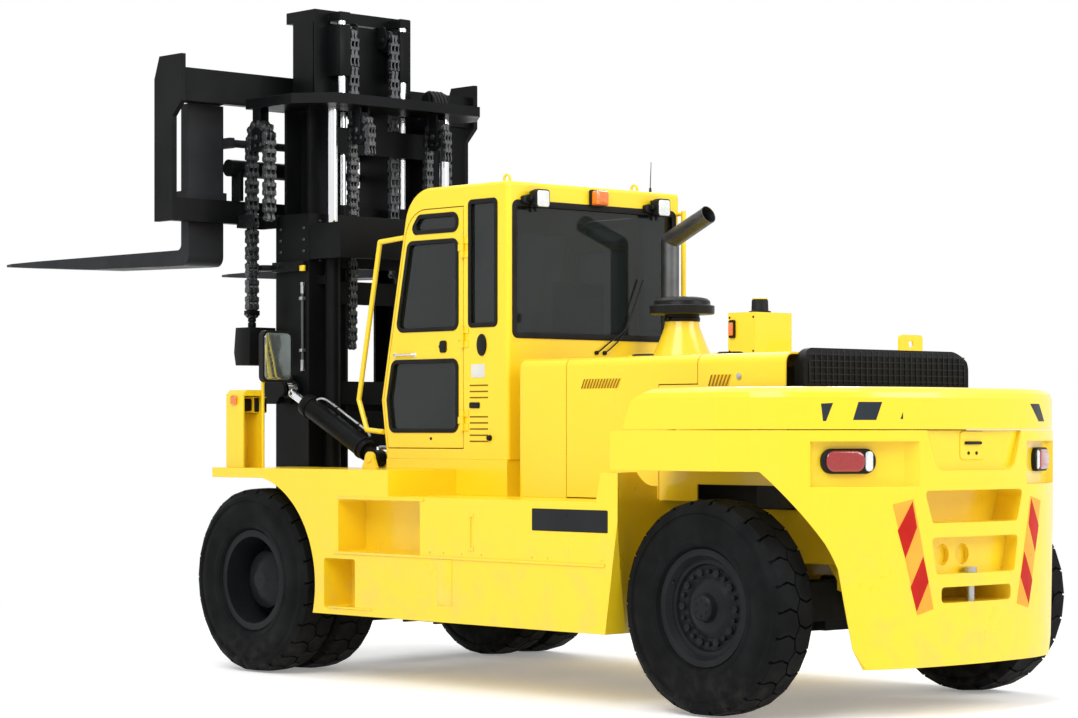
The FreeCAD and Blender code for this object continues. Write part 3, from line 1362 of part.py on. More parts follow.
outer_parts += both(axle_saddle, "axle_saddle")
outer_parts += both(lambda name: box(
    name, S.lift_x - 60, S.outer_x - 10, S.outer_rear, S.lift_y + 60, S.lift_low - 50, S.lift_low,
), "lift_foot")


def lift_clip(name):
    """A half saddle on the mast that steadies the lift cylinder near its top."""
    block = box(
        name + "_block", S.lift_x - S.lift_radius, S.lift_x + S.lift_radius + 10, S.outer_rear, S.lift_y,
        S.lift_high - 220, S.lift_high - 160,
    )
    seat = rod(name + "_seat", "Z", S.lift_x, S.lift_y, S.lift_high - 230, 80, S.lift_radius)
    return cut(name, block, seat)


outer_parts += both(lift_clip, "lift_clip")
S.add(tilt_eye_y=-1185, tilt_eye_z=1900, tilt_eye_pin=25, tilt_eye_room=16, tilt_ear_radius=52)


def tilt_ears(name):
    plates = []
    for part, x in (
        ("a", S.tilt_pin_x - S.ear_gap / 2 - S.ear_thick), ("b", S.tilt_pin_x + S.ear_gap / 2),
    ):
        body = new_body(name + "_" + part)
        pad(body, "YZ", x, [[
            (S.outer_front + 60, S.tilt_eye_z - 100), (S.tilt_eye_y - 40, S.tilt_eye_z - 100),
            (S.tilt_eye_y, S.tilt_eye_z - S.tilt_ear_radius, S.tilt_ear_radius),
            (S.tilt_eye_y, S.tilt_eye_z + S.tilt_ear_radius), (S.tilt_eye_y - 40, S.tilt_eye_z + 100),
            (S.outer_front + 60, S.tilt_eye_z + 100),
        ]], S.ear_thick)
        plates.append(body)
    plates.append(box(
        name + "_back", S.outer_x, S.tilt_pin_x + S.ear_gap / 2 + S.ear_thick, S.outer_front + 60,
        S.outer_front + 90, S.tilt_eye_z - 100, S.tilt_eye_z + 100,
    ))
    plates.append(rod(
        name + "_pin", "X", S.tilt_pin_x - S.ear_gap / 2 - S.ear_thick, S.tilt_eye_y, S.tilt_eye_z,
        S.ear_gap + 2 * S.ear_thick, S.tilt_eye_pin,
    ))
    return fuse(name, plates)


outer_parts += both(tilt_ears, "mast_ear")
sub_part(fuse("mast_outer", outer_parts), "mast_outer")


def tube_barrel(name, x, y, low, high, radius, wall, rod_radius):
    """A hydraulic cylinder's tube, closed below, with a gland that guides the rod."""
    whole = rod(name + "_tube", "Z", x, y, low, high - low, radius)
    hollow = rod(name + "_hollow", "Z", x, y, low + 20, high - low - S.gland - 20, radius - wall)
    neck = rod(name + "_neck", "Z", x, y, high - S.gland - 1, S.gland + 2, rod_radius + S.shaft_gap)
    return cut(name, whole, fuse(name + "_inside", [hollow, neck]))


lift_barrel = tube_barrel(
    "lift_barrel", S.lift_x, S.lift_y, S.lift_low, S.lift_high, S.lift_radius, S.lift_wall,
    S.lift_rod_radius,
)
sub_part(fuse("lift_barrels", [lift_barrel, mirrored("lift_barrel_twin", lift_barrel)]), "lift_barrels")
lift_rod = rod("lift_rod", "Z", S.lift_x, S.lift_y, S.lift_rod_low, S.mid_high - S.lift_rod_low,
    S.lift_rod_radius)
sub_part(fuse("lift_rods", [lift_rod, mirrored("lift_rod_twin", lift_rod)]), "lift_rods")

mid_parts = both(lambda name: channel(
    name, S.mid_x, S.mid_tip_x, S.mid_web, S.mid_front, S.mid_rear, S.mid_web, S.mid_low, S.mid_high,
), "mid_rail")
tie = new_body("tie_plate")
pad(tie, "XY", S.mid_high, [[
    (-S.tie_half, S.tie_rear), (-S.tie_arm_x - 40, S.tie_rear - 260), (-S.tie_arm_x - 40, S.tie_arm_front),
    (-S.tie_gap_half, S.tie_arm_front), (-S.tie_gap_half, S.tie_gap_rear), (S.tie_gap_half, S.tie_gap_rear),
    (S.tie_gap_half, S.tie_arm_front), (S.tie_arm_x + 40, S.tie_arm_front),
    (S.tie_arm_x + 40, S.tie_rear - 260), (S.tie_half, S.tie_rear),
]], S.tie_thick)
mid_parts.append(tie)
mid_parts.append(box("mid_cross_low", -S.mid_x, S.mid_x, S.ram_y - 60, S.mid_rear, S.mid_low, S.ram_low))
for name, low, high in (("a", 1800, 1960), ("b", 2500, 2660), ("c", 3560, 3740)):
    mid_parts.append(box(
        f"mid_cross_{name}", -S.mid_x, S.mid_x, S.mid_rear - 22, S.mid_rear, low, high,
    ))
sub_part(fuse("mast_middle", mid_parts), "mast_middle")


def sheave_set(name):
    """A chain wheel between two cheeks that hang from the tie plate."""
    parts = [rod(name + "_wheel", "X", S.sheave_x - S.sheave_half, S.sheave_y, S.sheave_z,
                 S.sheave_half * 2, S.sheave_radius)]
    for part, x in (("a", S.sheave_x - S.sheave_half - 14), ("b", S.sheave_x + S.sheave_half)):
        parts.append(box(name + part, x, x + 14, S.sheave_y - 40, S.sheave_y + 40, S.sheave_z - 40,
            S.mid_high))
    return fuse(name, parts)


def pulley_set(name):
    parts = [rod(name + "_wheel", "X", S.pulley_x - S.sheave_half, S.pulley_y, S.pulley_z,
                 S.sheave_half * 2, S.sheave_radius)]
    for part, x in (("a", S.pulley_x - S.sheave_half - 12), ("b", S.pulley_x + S.sheave_half)):
        parts.append(box(name + part, x, x + 12, S.pulley_y - 40, S.pulley_y + 40, S.pulley_z - 40,
            S.mid_high))
    return fuse(name, parts)


sub_part(fuse("mast_sheaves", both(sheave_set, "sheave_set") + both(pulley_set, "pulley_set")),
    "mast_sheaves")
ram = tube_barrel("ram_barrel", S.ram_x, S.ram_y, S.ram_low, S.ram_high, S.ram_radius, S.lift_wall,
    S.ram_rod_radius)
sub_part(fuse("ram_barrels", [ram, mirrored("ram_barrel_twin", ram)]), "ram_barrels")
ram_rod = rod("ram_rod", "Z", S.ram_x, S.ram_y, S.ram_rod_low, S.in_high - S.ram_rod_low, S.ram_rod_radius)
sub_part(fuse("ram_rods", [ram_rod, mirrored("ram_rod_twin", ram_rod)]), "ram_rods")

in_parts = both(lambda name: channel(
    name, S.in_x, S.in_tip_x, S.in_web, S.in_front, S.in_rear, S.in_flange, S.in_low, S.in_high,
), "inner_rail")
for name, low, high in (("a", 1720, 1900), ("b", 3000, 3200)):
    in_parts.append(box(
        f"inner_cross_{name}", -S.in_tip_x, S.in_tip_x, S.in_rear - S.in_flange, S.in_rear, low, high,
    ))
in_parts.append(box(
    "crosshead", -S.in_x, S.in_x, S.in_front - 75, S.in_rear, S.in_high, S.in_high + S.head_thick,
))
in_parts += both(lambda name: box(
    name, S.ram_x - 45, S.ram_x + 45, S.in_rear, S.ram_y + 40, S.in_high, S.in_high + S.head_thick - 20,
), "ram_bracket")
sub_part(fuse("mast_inner", in_parts), "mast_inner")

# ---------------------------------------------------------------- tilt cylinders

S.add(
    tilt_barrel_radius=70, tilt_barrel_wall=9, tilt_rod_radius=32, tilt_eye_radius=62,
    tilt_barrel_start=105,
    tilt_barrel_end=820, tilt_tail=560, tilt_eye_width=76,
)
tilt_dy = S.tilt_pin_y - S.tilt_eye_y
tilt_dz = S.tilt_eye_z - S.tilt_pin_z
tilt_angle = math.degrees(math.atan2(tilt_dz.value, tilt_dy.value))
tilt_span = Size(
    math.hypot(tilt_dy.value, tilt_dz.value), f"sqrt({tilt_dy.formula} ^ 2 + {tilt_dz.formula} ^ 2)",
)


def lean(item, x, y, z):
    """Turns a piece drawn along -Y so that it points from the chassis pin up to the mast pin."""
    place(item, x, y, z, FreeCAD.Rotation(V(-1, 0, 0), tilt_angle))
    item.setExpression(
        ".Placement.Rotation.Angle", f"atan2({tilt_dz.formula}; {tilt_dy.formula})"
    )


half_eye = S.tilt_eye_width / 2
barrel_whole = fuse("tilt_barrel_whole", [
    rod("tilt_barrel_tube", "Y", 0, -S.tilt_barrel_end, 0, S.tilt_barrel_end - S.tilt_barrel_start,
        S.tilt_barrel_radius),
    rod("tilt_barrel_neck", "Y", 0, -S.tilt_barrel_start - 10, 0, S.tilt_barrel_start,
    S.tilt_eye_radius - 20),
    rod("tilt_barrel_eye", "X", -half_eye, 0, 0, S.tilt_eye_width, S.tilt_eye_radius - 6),
])
barrel_inside = fuse("tilt_barrel_inside", [
    rod("tilt_barrel_hollow", "Y", 0, -S.tilt_barrel_end + S.gland, 0,
        S.tilt_barrel_end - S.tilt_barrel_start - S.gland - 20, S.tilt_barrel_radius - S.tilt_barrel_wall),
    rod("tilt_barrel_gland", "Y", 0, -S.tilt_barrel_end - 1, 0, S.gland + 2,
    S.tilt_rod_radius + S.shaft_gap),
    rod("tilt_barrel_hole", "X", -half_eye - 10, 0, 0, S.tilt_eye_width + 20,
    S.tilt_pin_radius + S.shaft_gap),
])
tilt_barrel = cut("tilt_barrel", barrel_whole, barrel_inside)
lean(tilt_barrel, S.tilt_pin_x, S.tilt_pin_y, S.tilt_pin_z)
pair(tilt_barrel, "tilt_barrel")
rod_length = tilt_span - S.tilt_tail
rod_whole = fuse("tilt_rod_whole", [
    rod("tilt_rod_shaft", "Y", 0, 0, 0, rod_length, S.tilt_rod_radius),
    rod("tilt_rod_ring", "X", -half_eye, 0, 0, S.tilt_eye_width, S.tilt_eye_radius),
])
tilt_rod = cut("tilt_rod", rod_whole, rod(
    "tilt_rod_hole", "X", -half_eye - 1, 0, 0, S.tilt_eye_width + 2, S.tilt_eye_pin + S.tilt_eye_room,
))
lean(tilt_rod, S.tilt_pin_x, S.tilt_eye_y, S.tilt_eye_z)
pair(tilt_rod, "tilt_rod")

# ---------------------------------------------------------------- carriage and forks

S.add(
    shaft_y=-1820, shaft_z=4000, shaft_radius=50, side_plate_in=1326, side_plate_out=1364, beam_front=-1715,
    beam_rear=-1640, beam_low=3900, beam_high=4130, bar_front=-1765, bar_rear=-1690, bar_low=3070,
    bar_high=3230, roller_plate_in=255, roller_plate_out=290, roller_rear=-1310, roller_radius=97,
    roller_y=-1400, roller_low=3160, roller_high=3960, mover_radius=60, mover_y=-1700,
    mover_high=3636, mover_low=3462, mover_far=880, mover_near=90, mover_rod_radius=28, mover_tail=100,
    notch_rear=-1628, lug_x=850, lug_thick=40,
)
carriage_parts = [rod(
    "carriage_shaft", "X", -S.side_plate_in, S.shaft_y, S.shaft_z, S.side_plate_in * 2, S.shaft_radius,
)]
carriage_parts.append(box(
    "carriage_beam", -S.side_plate_in, S.side_plate_in, S.beam_front, S.beam_rear, S.beam_low, S.beam_high,
))
carriage_parts.append(box(
    "carriage_bar", -S.side_plate_in, S.side_plate_in, S.bar_front, S.bar_rear, S.bar_low, S.bar_high,
))


def side_plate(name):
    body = new_body(name)
    pad(body, "YZ", S.side_plate_in, [[
        (S.bar_front - 140, S.bar_low), (S.bar_rear, S.bar_low), (S.bar_rear, 3790), (S.beam_rear + 55,
        3890),
        (S.beam_rear + 55, 4215), (S.shaft_y - 25, 4215), (S.shaft_y - 85, 4060), (S.bar_front - 140, 3790),
    ]], S.side_plate_out - S.side_plate_in)
    return body


def roller_plate(name):
    body = new_body(name)
    pad(body, "YZ", S.roller_plate_in, [[
        (S.bar_rear - 10, S.roller_low - 110), (S.roller_rear, S.roller_low - 110),
        (S.roller_rear, S.roller_high + 120), (S.bar_rear - 10, S.roller_high + 120),
        (S.bar_rear - 10, S.mover_high + S.mover_radius + 20), (S.notch_rear,
        S.mover_high + S.mover_radius + 20),
        (S.notch_rear, S.mover_low - S.mover_radius - 20), (S.bar_rear - 10,
        S.mover_low - S.mover_radius - 20),
    ]], S.roller_plate_out - S.roller_plate_in)
    rollers = [
        rod(f"{name}_roller_{k}", "X", S.roller_plate_out, S.roller_y, z,
            S.in_x - S.in_web - 0.5 - S.roller_plate_out,
            S.roller_radius)
        for k, z in (("low", S.roller_low), ("high", S.roller_high))
    ]
    return fuse(name + "_with_rollers", [body] + rollers)


def mover_saddle(name, x, low, high, front):
    return box(name, x, x + 30, front, S.beam_rear, low, high)


carriage_parts += both(side_plate, "side_plate")
carriage_parts += both(roller_plate, "roller_plate")
carriage_parts.append(rod(
    "mover_left", "X", -S.mover_far, S.mover_y, S.mover_high, S.mover_far + S.mover_near, S.mover_radius,
))
carriage_parts.append(rod(
    "mover_right", "X", -S.mover_near, S.mover_y, S.mover_low, S.mover_far + S.mover_near, S.mover_radius,
))
for k, x in (("far", -S.mover_far + 60), ("near", S.mover_near - 60)):
    carriage_parts.append(mover_saddle(
        f"mover_hanger_{k}", x, S.mover_high + 30, S.beam_low, S.beam_front,
    ))
for k, x in (("far", S.mover_far - 90), ("near", -S.mover_near + 30)):
    carriage_parts.append(mover_saddle(
        f"mover_stand_{k}", x, S.bar_high, S.mover_low - 30, S.bar_front + 25,
    ))
mover_bores = fuse("mover_bores", [
    rod("mover_bore_left", "X", -S.mover_far + 10, S.mover_y, S.mover_high, S.mover_far + S.mover_near,
        S.mover_rod_radius + S.shaft_gap),
    rod("mover_bore_right", "X", -S.mover_near - 10, S.mover_y, S.mover_low, S.mover_far + S.mover_near,
        S.mover_rod_radius + S.shaft_gap),
])
sub_part(cut("carriage", fuse("carriage_whole", carriage_parts), mover_bores), "carriage")

S.add(
    fork_x=1015, fork_width=300, fork_rear=-1775, fork_front=-1865, fork_top=3900, blade_top=2880,
    heel_thick=110, fork_tip=-4235, tip_thick=18, fork_taper_y=-3000, fork_taper_drop=20, heel_round=70,
    head_radius=94, collar_low=3090, collar_high=3290, collar_reach=25, collar_front=-1895,
    collar_rear=-1770,
    tip_half=75, tip_plan=520,
)


def fork(name, sign, rod_z):
    body = new_body(name + "_blade")
    low = S.fork_x - S.fork_width / 2 if sign > 0 else -S.fork_x - S.fork_width / 2
    under = S.blade_top - S.heel_thick
    pad(body, "YZ", low, [[
        (S.fork_rear, S.fork_top), (S.fork_front, S.fork_top), (S.fork_front, S.blade_top + 40, -40),
        (S.fork_front - 40, S.blade_top), (S.fork_tip, S.blade_top), (S.fork_tip,
        S.blade_top - S.tip_thick),
        (S.fork_taper_y, under + S.fork_taper_drop), (S.fork_front - 60, under),
        (S.fork_rear - S.heel_round, under, S.heel_round), (S.fork_rear, under + S.heel_round),
    ]], S.fork_width)
    middle = sign * S.fork_x
    for k in (1, -1):
        edge = middle + k * S.fork_width / 2
        pocket(body, "XY", under - 10, [[
            (middle + k * S.tip_half, S.fork_tip - 1), (edge + k * 1, S.fork_tip - 1),
            (edge + k * 1, S.fork_tip + S.tip_plan), (edge, S.fork_tip + S.tip_plan),
            (middle + k * (S.tip_half + 45), S.fork_tip + 140),
        ]], S.heel_thick + 40)
    head = rod(name + "_head", "X", low, S.shaft_y, S.shaft_z, S.fork_width, S.head_radius)
    collar = box(
        name + "_collar", low - S.collar_reach, low + S.fork_width + S.collar_reach, S.collar_front,
        S.collar_rear, S.collar_low, S.collar_high,
    )
    lug_at = S.lug_x if sign > 0 else -S.lug_x - S.lug_thick
    lug = box(name + "_lug", lug_at, lug_at + S.lug_thick, S.fork_front + 60, S.mover_y + 36, rod_z - 36,
        rod_z + 36)
    tail = -S.mover_tail if sign > 0 else -S.lug_x
    shaft = rod(name + "_rod", "X", tail, S.mover_y, rod_z, S.lug_x + S.mover_tail, S.mover_rod_radius)
    bore = rod(name + "_bore", "X", low - 1, S.shaft_y, S.shaft_z, S.fork_width + 2,
        S.shaft_radius + S.shaft_gap)
    return cut(name, fuse(name + "_whole", [body, head, collar, lug, shaft]), bore)


sub_part(fork("fork_left", 1, S.mover_high), "fork_left")
sub_part(fork("fork_right", -1, S.mover_low), "fork_right")

# ---------------------------------------------------------------- lamps, mirrors and rails

S.add(
    post_x=1165, post_front=-1215, post_half=90, post_depth=190, post_high=1890, post_wall=12,
    lamp_side=110,
    stay_arm_radius=9,
    stay_y=-1010, stay_radius=12, mirror_x=1100, mirror_y=-890, mirror_half=125, mirror_thick=45,
    mirror_low=1940, mirror_high=2290, rail_radius=17, rail_foot_radius=13, loop_front=-391,
    loop_top=2886, loop_bottom=1606, rear_rail_x=752, rear_rail_off=62, rear_rail_low=2400,
    rear_rail_high=3060,
)


def lamp_post(name):
    """A folded post at the front of the platform with a work lamp on top, and a slim stay for the mirror."""
    body = new_body(name + "_frame")
    pad(body, "XZ", S.post_front, [[
        (S.post_x - S.post_half, S.platform_high), (S.post_x + S.post_half, S.platform_high),
        (S.post_x + S.post_half, S.post_high - 30), (S.post_x + S.post_half - 30, S.post_high),
        (S.post_x - S.post_half + 30, S.post_high), (S.post_x - S.post_half, S.post_high - 30),
    ]], S.post_depth)
    pocket(body, "XZ", S.post_front + 10, [rect(
        S.post_x - S.post_half + S.post_wall, S.platform_high - 1, S.post_x + S.post_half - S.post_wall,
        S.post_high - 40,
    )], S.post_depth)
    lamp = box(
        name + "_lamp", S.post_x - S.post_half - S.lamp_side / 2, S.post_x - S.post_half + S.lamp_side / 2,
        S.post_front + 30, S.post_front + 30 + S.lamp_side, S.post_high - 45 - S.lamp_side,
        S.post_high - 45,
    )
    stay = rod(name + "_stay", "Z", S.mirror_x, S.stay_y, S.platform_high,
        S.mirror_high - 40 - S.platform_high,
               S.stay_radius)
    arm_bar = rod(name + "_arm", "Y", S.mirror_x, S.stay_y, S.mirror_high - 60, S.mirror_y - S.stay_y,
                  S.stay_arm_radius)
    return fuse(name, [body, lamp, stay, arm_bar])


post_left = lamp_post("lamp_post")
sub_part(fuse("lamp_posts", [post_left, mirrored("lamp_post_twin", post_left)]), "lamp_posts")
mirror_left = new_body("mirror_plate")
pad(mirror_left, "XZ", S.mirror_y, [rounded(rect(
    S.mirror_x - S.mirror_half, S.mirror_low, S.mirror_x + S.mirror_half, S.mirror_high), 40)],
    S.mirror_thick)
sub_part(fuse("mirrors", [mirror_left, mirrored("mirror_twin", mirror_left)]), "mirrors")


def bar_between(name, start, end, radius):
    """A round bar between two points of a plane X = constant."""
    x, y0, z0 = start
    y1, z1 = end
    dy = as_size(y1) - y0
    dz = as_size(z1) - z0
    item = doc.addObject("Part::Cylinder", name)
    item.Radius = value_of(radius)
    bind(item, "Radius", radius)
    item.Height = math.hypot(dy.value, dz.value)
    item.setExpression("Height", f"sqrt({dy.formula} ^ 2 + {dz.formula} ^ 2)")
    place(item, x, y0, z0, FreeCAD.Rotation(V(-1, 0, 0), math.degrees(math.atan2(dy.value, dz.value))))
    item.setExpression(".Placement.Rotation.Angle", f"atan2({dy.formula}; {dz.formula})")
    return item


def grab_loop(name):
    x = S.cab_half - S.rail_radius
    route = [
        (front_at(S.loop_top) + 4, S.loop_top), (S.loop_front + 221, S.loop_top - 16), (S.loop_front, 1821),
        (S.loop_front + 85, 1619), (S.cab_nose_y + 16, S.loop_bottom),
    ]
    parts = []
    for k in range(len(route) - 1):
        parts.append(bar_between(
            f"{name}_{k}", (x, route[k][0], route[k][1]), route[k + 1], S.rail_radius,
        ))
        if k:
            ball = doc.addObject("Part::Sphere", f"{name}_bend_{k}")
            ball.Radius = S.rail_radius.value
            bind(ball, "Radius", S.rail_radius)
            place(ball, x, route[k][0], route[k][1])
            parts.append(ball)
    whole = fuse(name + "_whole", parts)
    return cut(name, whole, doc.getObject("cab_shell"))


rear_rail = [rod(
    "rear_rail_upright", "Z", -S.rear_rail_x, S.cab_rear + S.rear_rail_off, S.rear_rail_low - 20,
    S.rear_rail_high - S.rear_rail_low + 40, S.rail_radius,
)]
for level, z in (("low", S.rear_rail_low), ("high", S.rear_rail_high)):
    rear_rail.append(rod(
        f"rear_rail_foot_{level}", "Y", -S.rear_rail_x, S.cab_rear, z, S.rear_rail_off, S.rail_foot_radius,
    ))
sub_part(fuse("handrails", both(grab_loop, "grab_loop") + [fuse("rear_rail", rear_rail)]), "handrails")

S.add(tail_lamp_x=1015, tail_lamp_long=330, tail_lamp_low=1375, tail_lamp_high=1515, tail_lamp_thick=42,
    roof_lamp_x=548, roof_lamp_side=120, roof_lamp_deep=90, roof_lamp_low=3030, beacon_half=65,
    beacon_deep=70, beacon_low=3070,
    beacon_high=3180)
tail_lamp = new_body("tail_lamp")
pad(tail_lamp, "XZ", 0, [rounded(rect(
    -S.tail_lamp_long, 0, 0, S.tail_lamp_high - S.tail_lamp_low), 45)], S.tail_lamp_thick)
recess_slope = S.recess_run / (S.lamp_out - S.lamp_in + 80)
place(
    tail_lamp, S.tail_lamp_x, S.recess_y + recess_slope * (S.lamp_out + 20 - S.tail_lamp_x),
    S.tail_lamp_low,
    FreeCAD.Rotation(V(0, 0, -1), math.degrees(math.atan(recess_slope.value))),
)
tail_lamp.setExpression(".Placement.Rotation.Angle", f"atan({recess_slope.formula})")
rear_lamp = box(
    "rear_work_lamp", S.roof_lamp_x - S.roof_lamp_side / 2, S.roof_lamp_x + S.roof_lamp_side / 2,
    S.cab_rear,
    S.cab_rear + S.roof_lamp_deep, S.roof_lamp_low, S.roof_lamp_low + S.roof_lamp_side,
)
beacon = box(
    "beacon", -S.beacon_half, S.beacon_half, S.cab_rear, S.cab_rear + S.beacon_deep, S.beacon_low,
    S.beacon_high,
)
sub_part(fuse("lamps", [
    tail_lamp, mirrored("tail_lamp_twin", tail_lamp), rear_lamp, mirrored("rear_work_lamp_twin",
    rear_lamp), beacon,
]), "lamps")


# ---------------------------------------------------------------- check the model and write the pieces

doc.recompute()
troubles = []
for item in doc.Objects:
    if "Invalid" in item.State or "Error" in item.State:
        troubles.append(f"{item.Name}: {item.State}")
    if item.TypeId in ("PartDesign::Pocket", "PartDesign::Groove") and item.BaseFeature is not None:
        if item.Shape.Volume >= item.BaseFeature.Shape.Volume - 1:
            troubles.append(f"{item.Name} cuts nothing")
for item in SUB_PARTS:
    if item.Shape.isNull() or not item.Shape.isValid():
        troubles.append(f"{item.Label} has no sound shape")
if troubles:
    raise RuntimeError("; ".join(troubles))
os.makedirs("parts", exist_ok=True)
for item in SUB_PARTS:
    item.Shape.exportStep(f"parts/{item.Label}.step")
print(f"{len(SUB_PARTS)} pieces written")
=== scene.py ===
from fnmatch import fnmatchcase
from math import acos, copysign, cos, pi, radians, sin, tan

import bmesh
import bpy
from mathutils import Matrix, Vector
from mathutils.bvhtree import BVHTree


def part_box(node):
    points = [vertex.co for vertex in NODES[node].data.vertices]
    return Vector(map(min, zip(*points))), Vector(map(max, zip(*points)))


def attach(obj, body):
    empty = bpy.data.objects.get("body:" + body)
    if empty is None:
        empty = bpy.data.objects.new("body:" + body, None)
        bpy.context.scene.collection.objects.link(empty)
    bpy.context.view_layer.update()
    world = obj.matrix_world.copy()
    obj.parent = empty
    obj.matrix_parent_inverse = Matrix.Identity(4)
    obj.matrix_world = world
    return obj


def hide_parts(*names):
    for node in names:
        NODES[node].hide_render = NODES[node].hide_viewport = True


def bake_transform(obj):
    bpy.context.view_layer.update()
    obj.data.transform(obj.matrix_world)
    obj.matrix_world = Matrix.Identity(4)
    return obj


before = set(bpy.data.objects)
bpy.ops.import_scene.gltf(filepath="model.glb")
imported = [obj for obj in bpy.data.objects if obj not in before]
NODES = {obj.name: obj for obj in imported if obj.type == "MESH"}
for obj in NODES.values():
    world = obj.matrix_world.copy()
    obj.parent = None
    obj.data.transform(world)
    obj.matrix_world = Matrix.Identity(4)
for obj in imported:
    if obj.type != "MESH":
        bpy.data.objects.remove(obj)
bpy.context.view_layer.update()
SIDEWAYS = (1, 0, 0)
SIDES = (("left", 1), ("right", -1))


def add_object(name, data):
    obj = bpy.data.objects.new(name, data)
    bpy.context.scene.collection.objects.link(obj)
    return obj


# ---------------------------------------------------------------- camera and light

def look(position, azimuth, lens, shift_y):
    camera = bpy.data.cameras.new("camera")
    camera.lens = lens
    camera.sensor_width = 36
    camera.shift_y = shift_y
    camera.clip_end = 200
    holder = add_object("camera", camera)
    holder.location = position
    holder.rotation_euler = (pi / 2, 0, radians(azimuth))
    bpy.context.scene.camera = holder


look((12.695, 14.211, 1.617), 137.07, 93.56, 0.0661)


def area_light(name, position, target, size, power):
    lamp = bpy.data.lights.new(name, "AREA")
    lamp.shape = "RECTANGLE"
    lamp.size, lamp.size_y = size
    lamp.energy = power
    holder = add_object(name, lamp)
    holder.location = position
    holder.rotation_euler = (Vector(target) - Vector(position)).to_track_quat("-Z", "Y").to_euler()


area_light("key", (9.0, 5.0, 9.0), (0, 0, 1.2), (7, 7), 900)
area_light("tail_fill", (-3.5, 11.0, 6.5), (0, 2.5, 1.2), (6, 5), 520)
area_light("front_fill", (-9.0, -9.0, 8.0), (0, 0, 1.5), (8, 6), 500)
area_light("top", (0, 0, 11.0), (0, 0, 0), (8, 12), 500)


def new_node(tree, kind, **inputs):
    """Adds a shader node and sets its sockets by name, with an underscore for each space."""
    made = tree.nodes.new("ShaderNode" + kind)
    for key, value in inputs.items():
        made.inputs[key.replace("_", " ")].default_value = value
    return made


def combine(tree, kind, *sources):
    """Adds a node whose first sockets take these outputs, and gives its own output."""
    made = new_node(tree, kind)
    for socket, source in zip(made.inputs, sources):
        tree.links.new(source, socket)
    return made.outputs[0]


def seen_rays(tree):
    """1 for the rays that show a background: from the camera, in a reflection, or through glass."""
    path = new_node(tree, "LightPath")
    seen = path.outputs["Is Camera Ray"]
    for other in ("Is Glossy Ray", "Is Transmission Ray"):
        seen = combine(tree, "Math", seen, path.outputs[other])
        seen.node.operation = "MAXIMUM"
    return seen


def plain_world():
    world = bpy.data.worlds.new("studio")
    bpy.context.scene.world = world
    world.use_nodes = True
    tree = world.node_tree
    tree.nodes.clear()
    lit, seen = (new_node(tree, "Background", Color=(1, 1, 1, 1), Strength=s).outputs[0] for s in (0.55, 1.0))
    tree.links.new(combine(tree, "MixShader", seen_rays(tree), lit, seen),
                   new_node(tree, "OutputWorld").inputs[0])


plain_world()
bpy.context.scene.view_settings.view_transform = "Standard"


# ---------------------------------------------------------------- materials

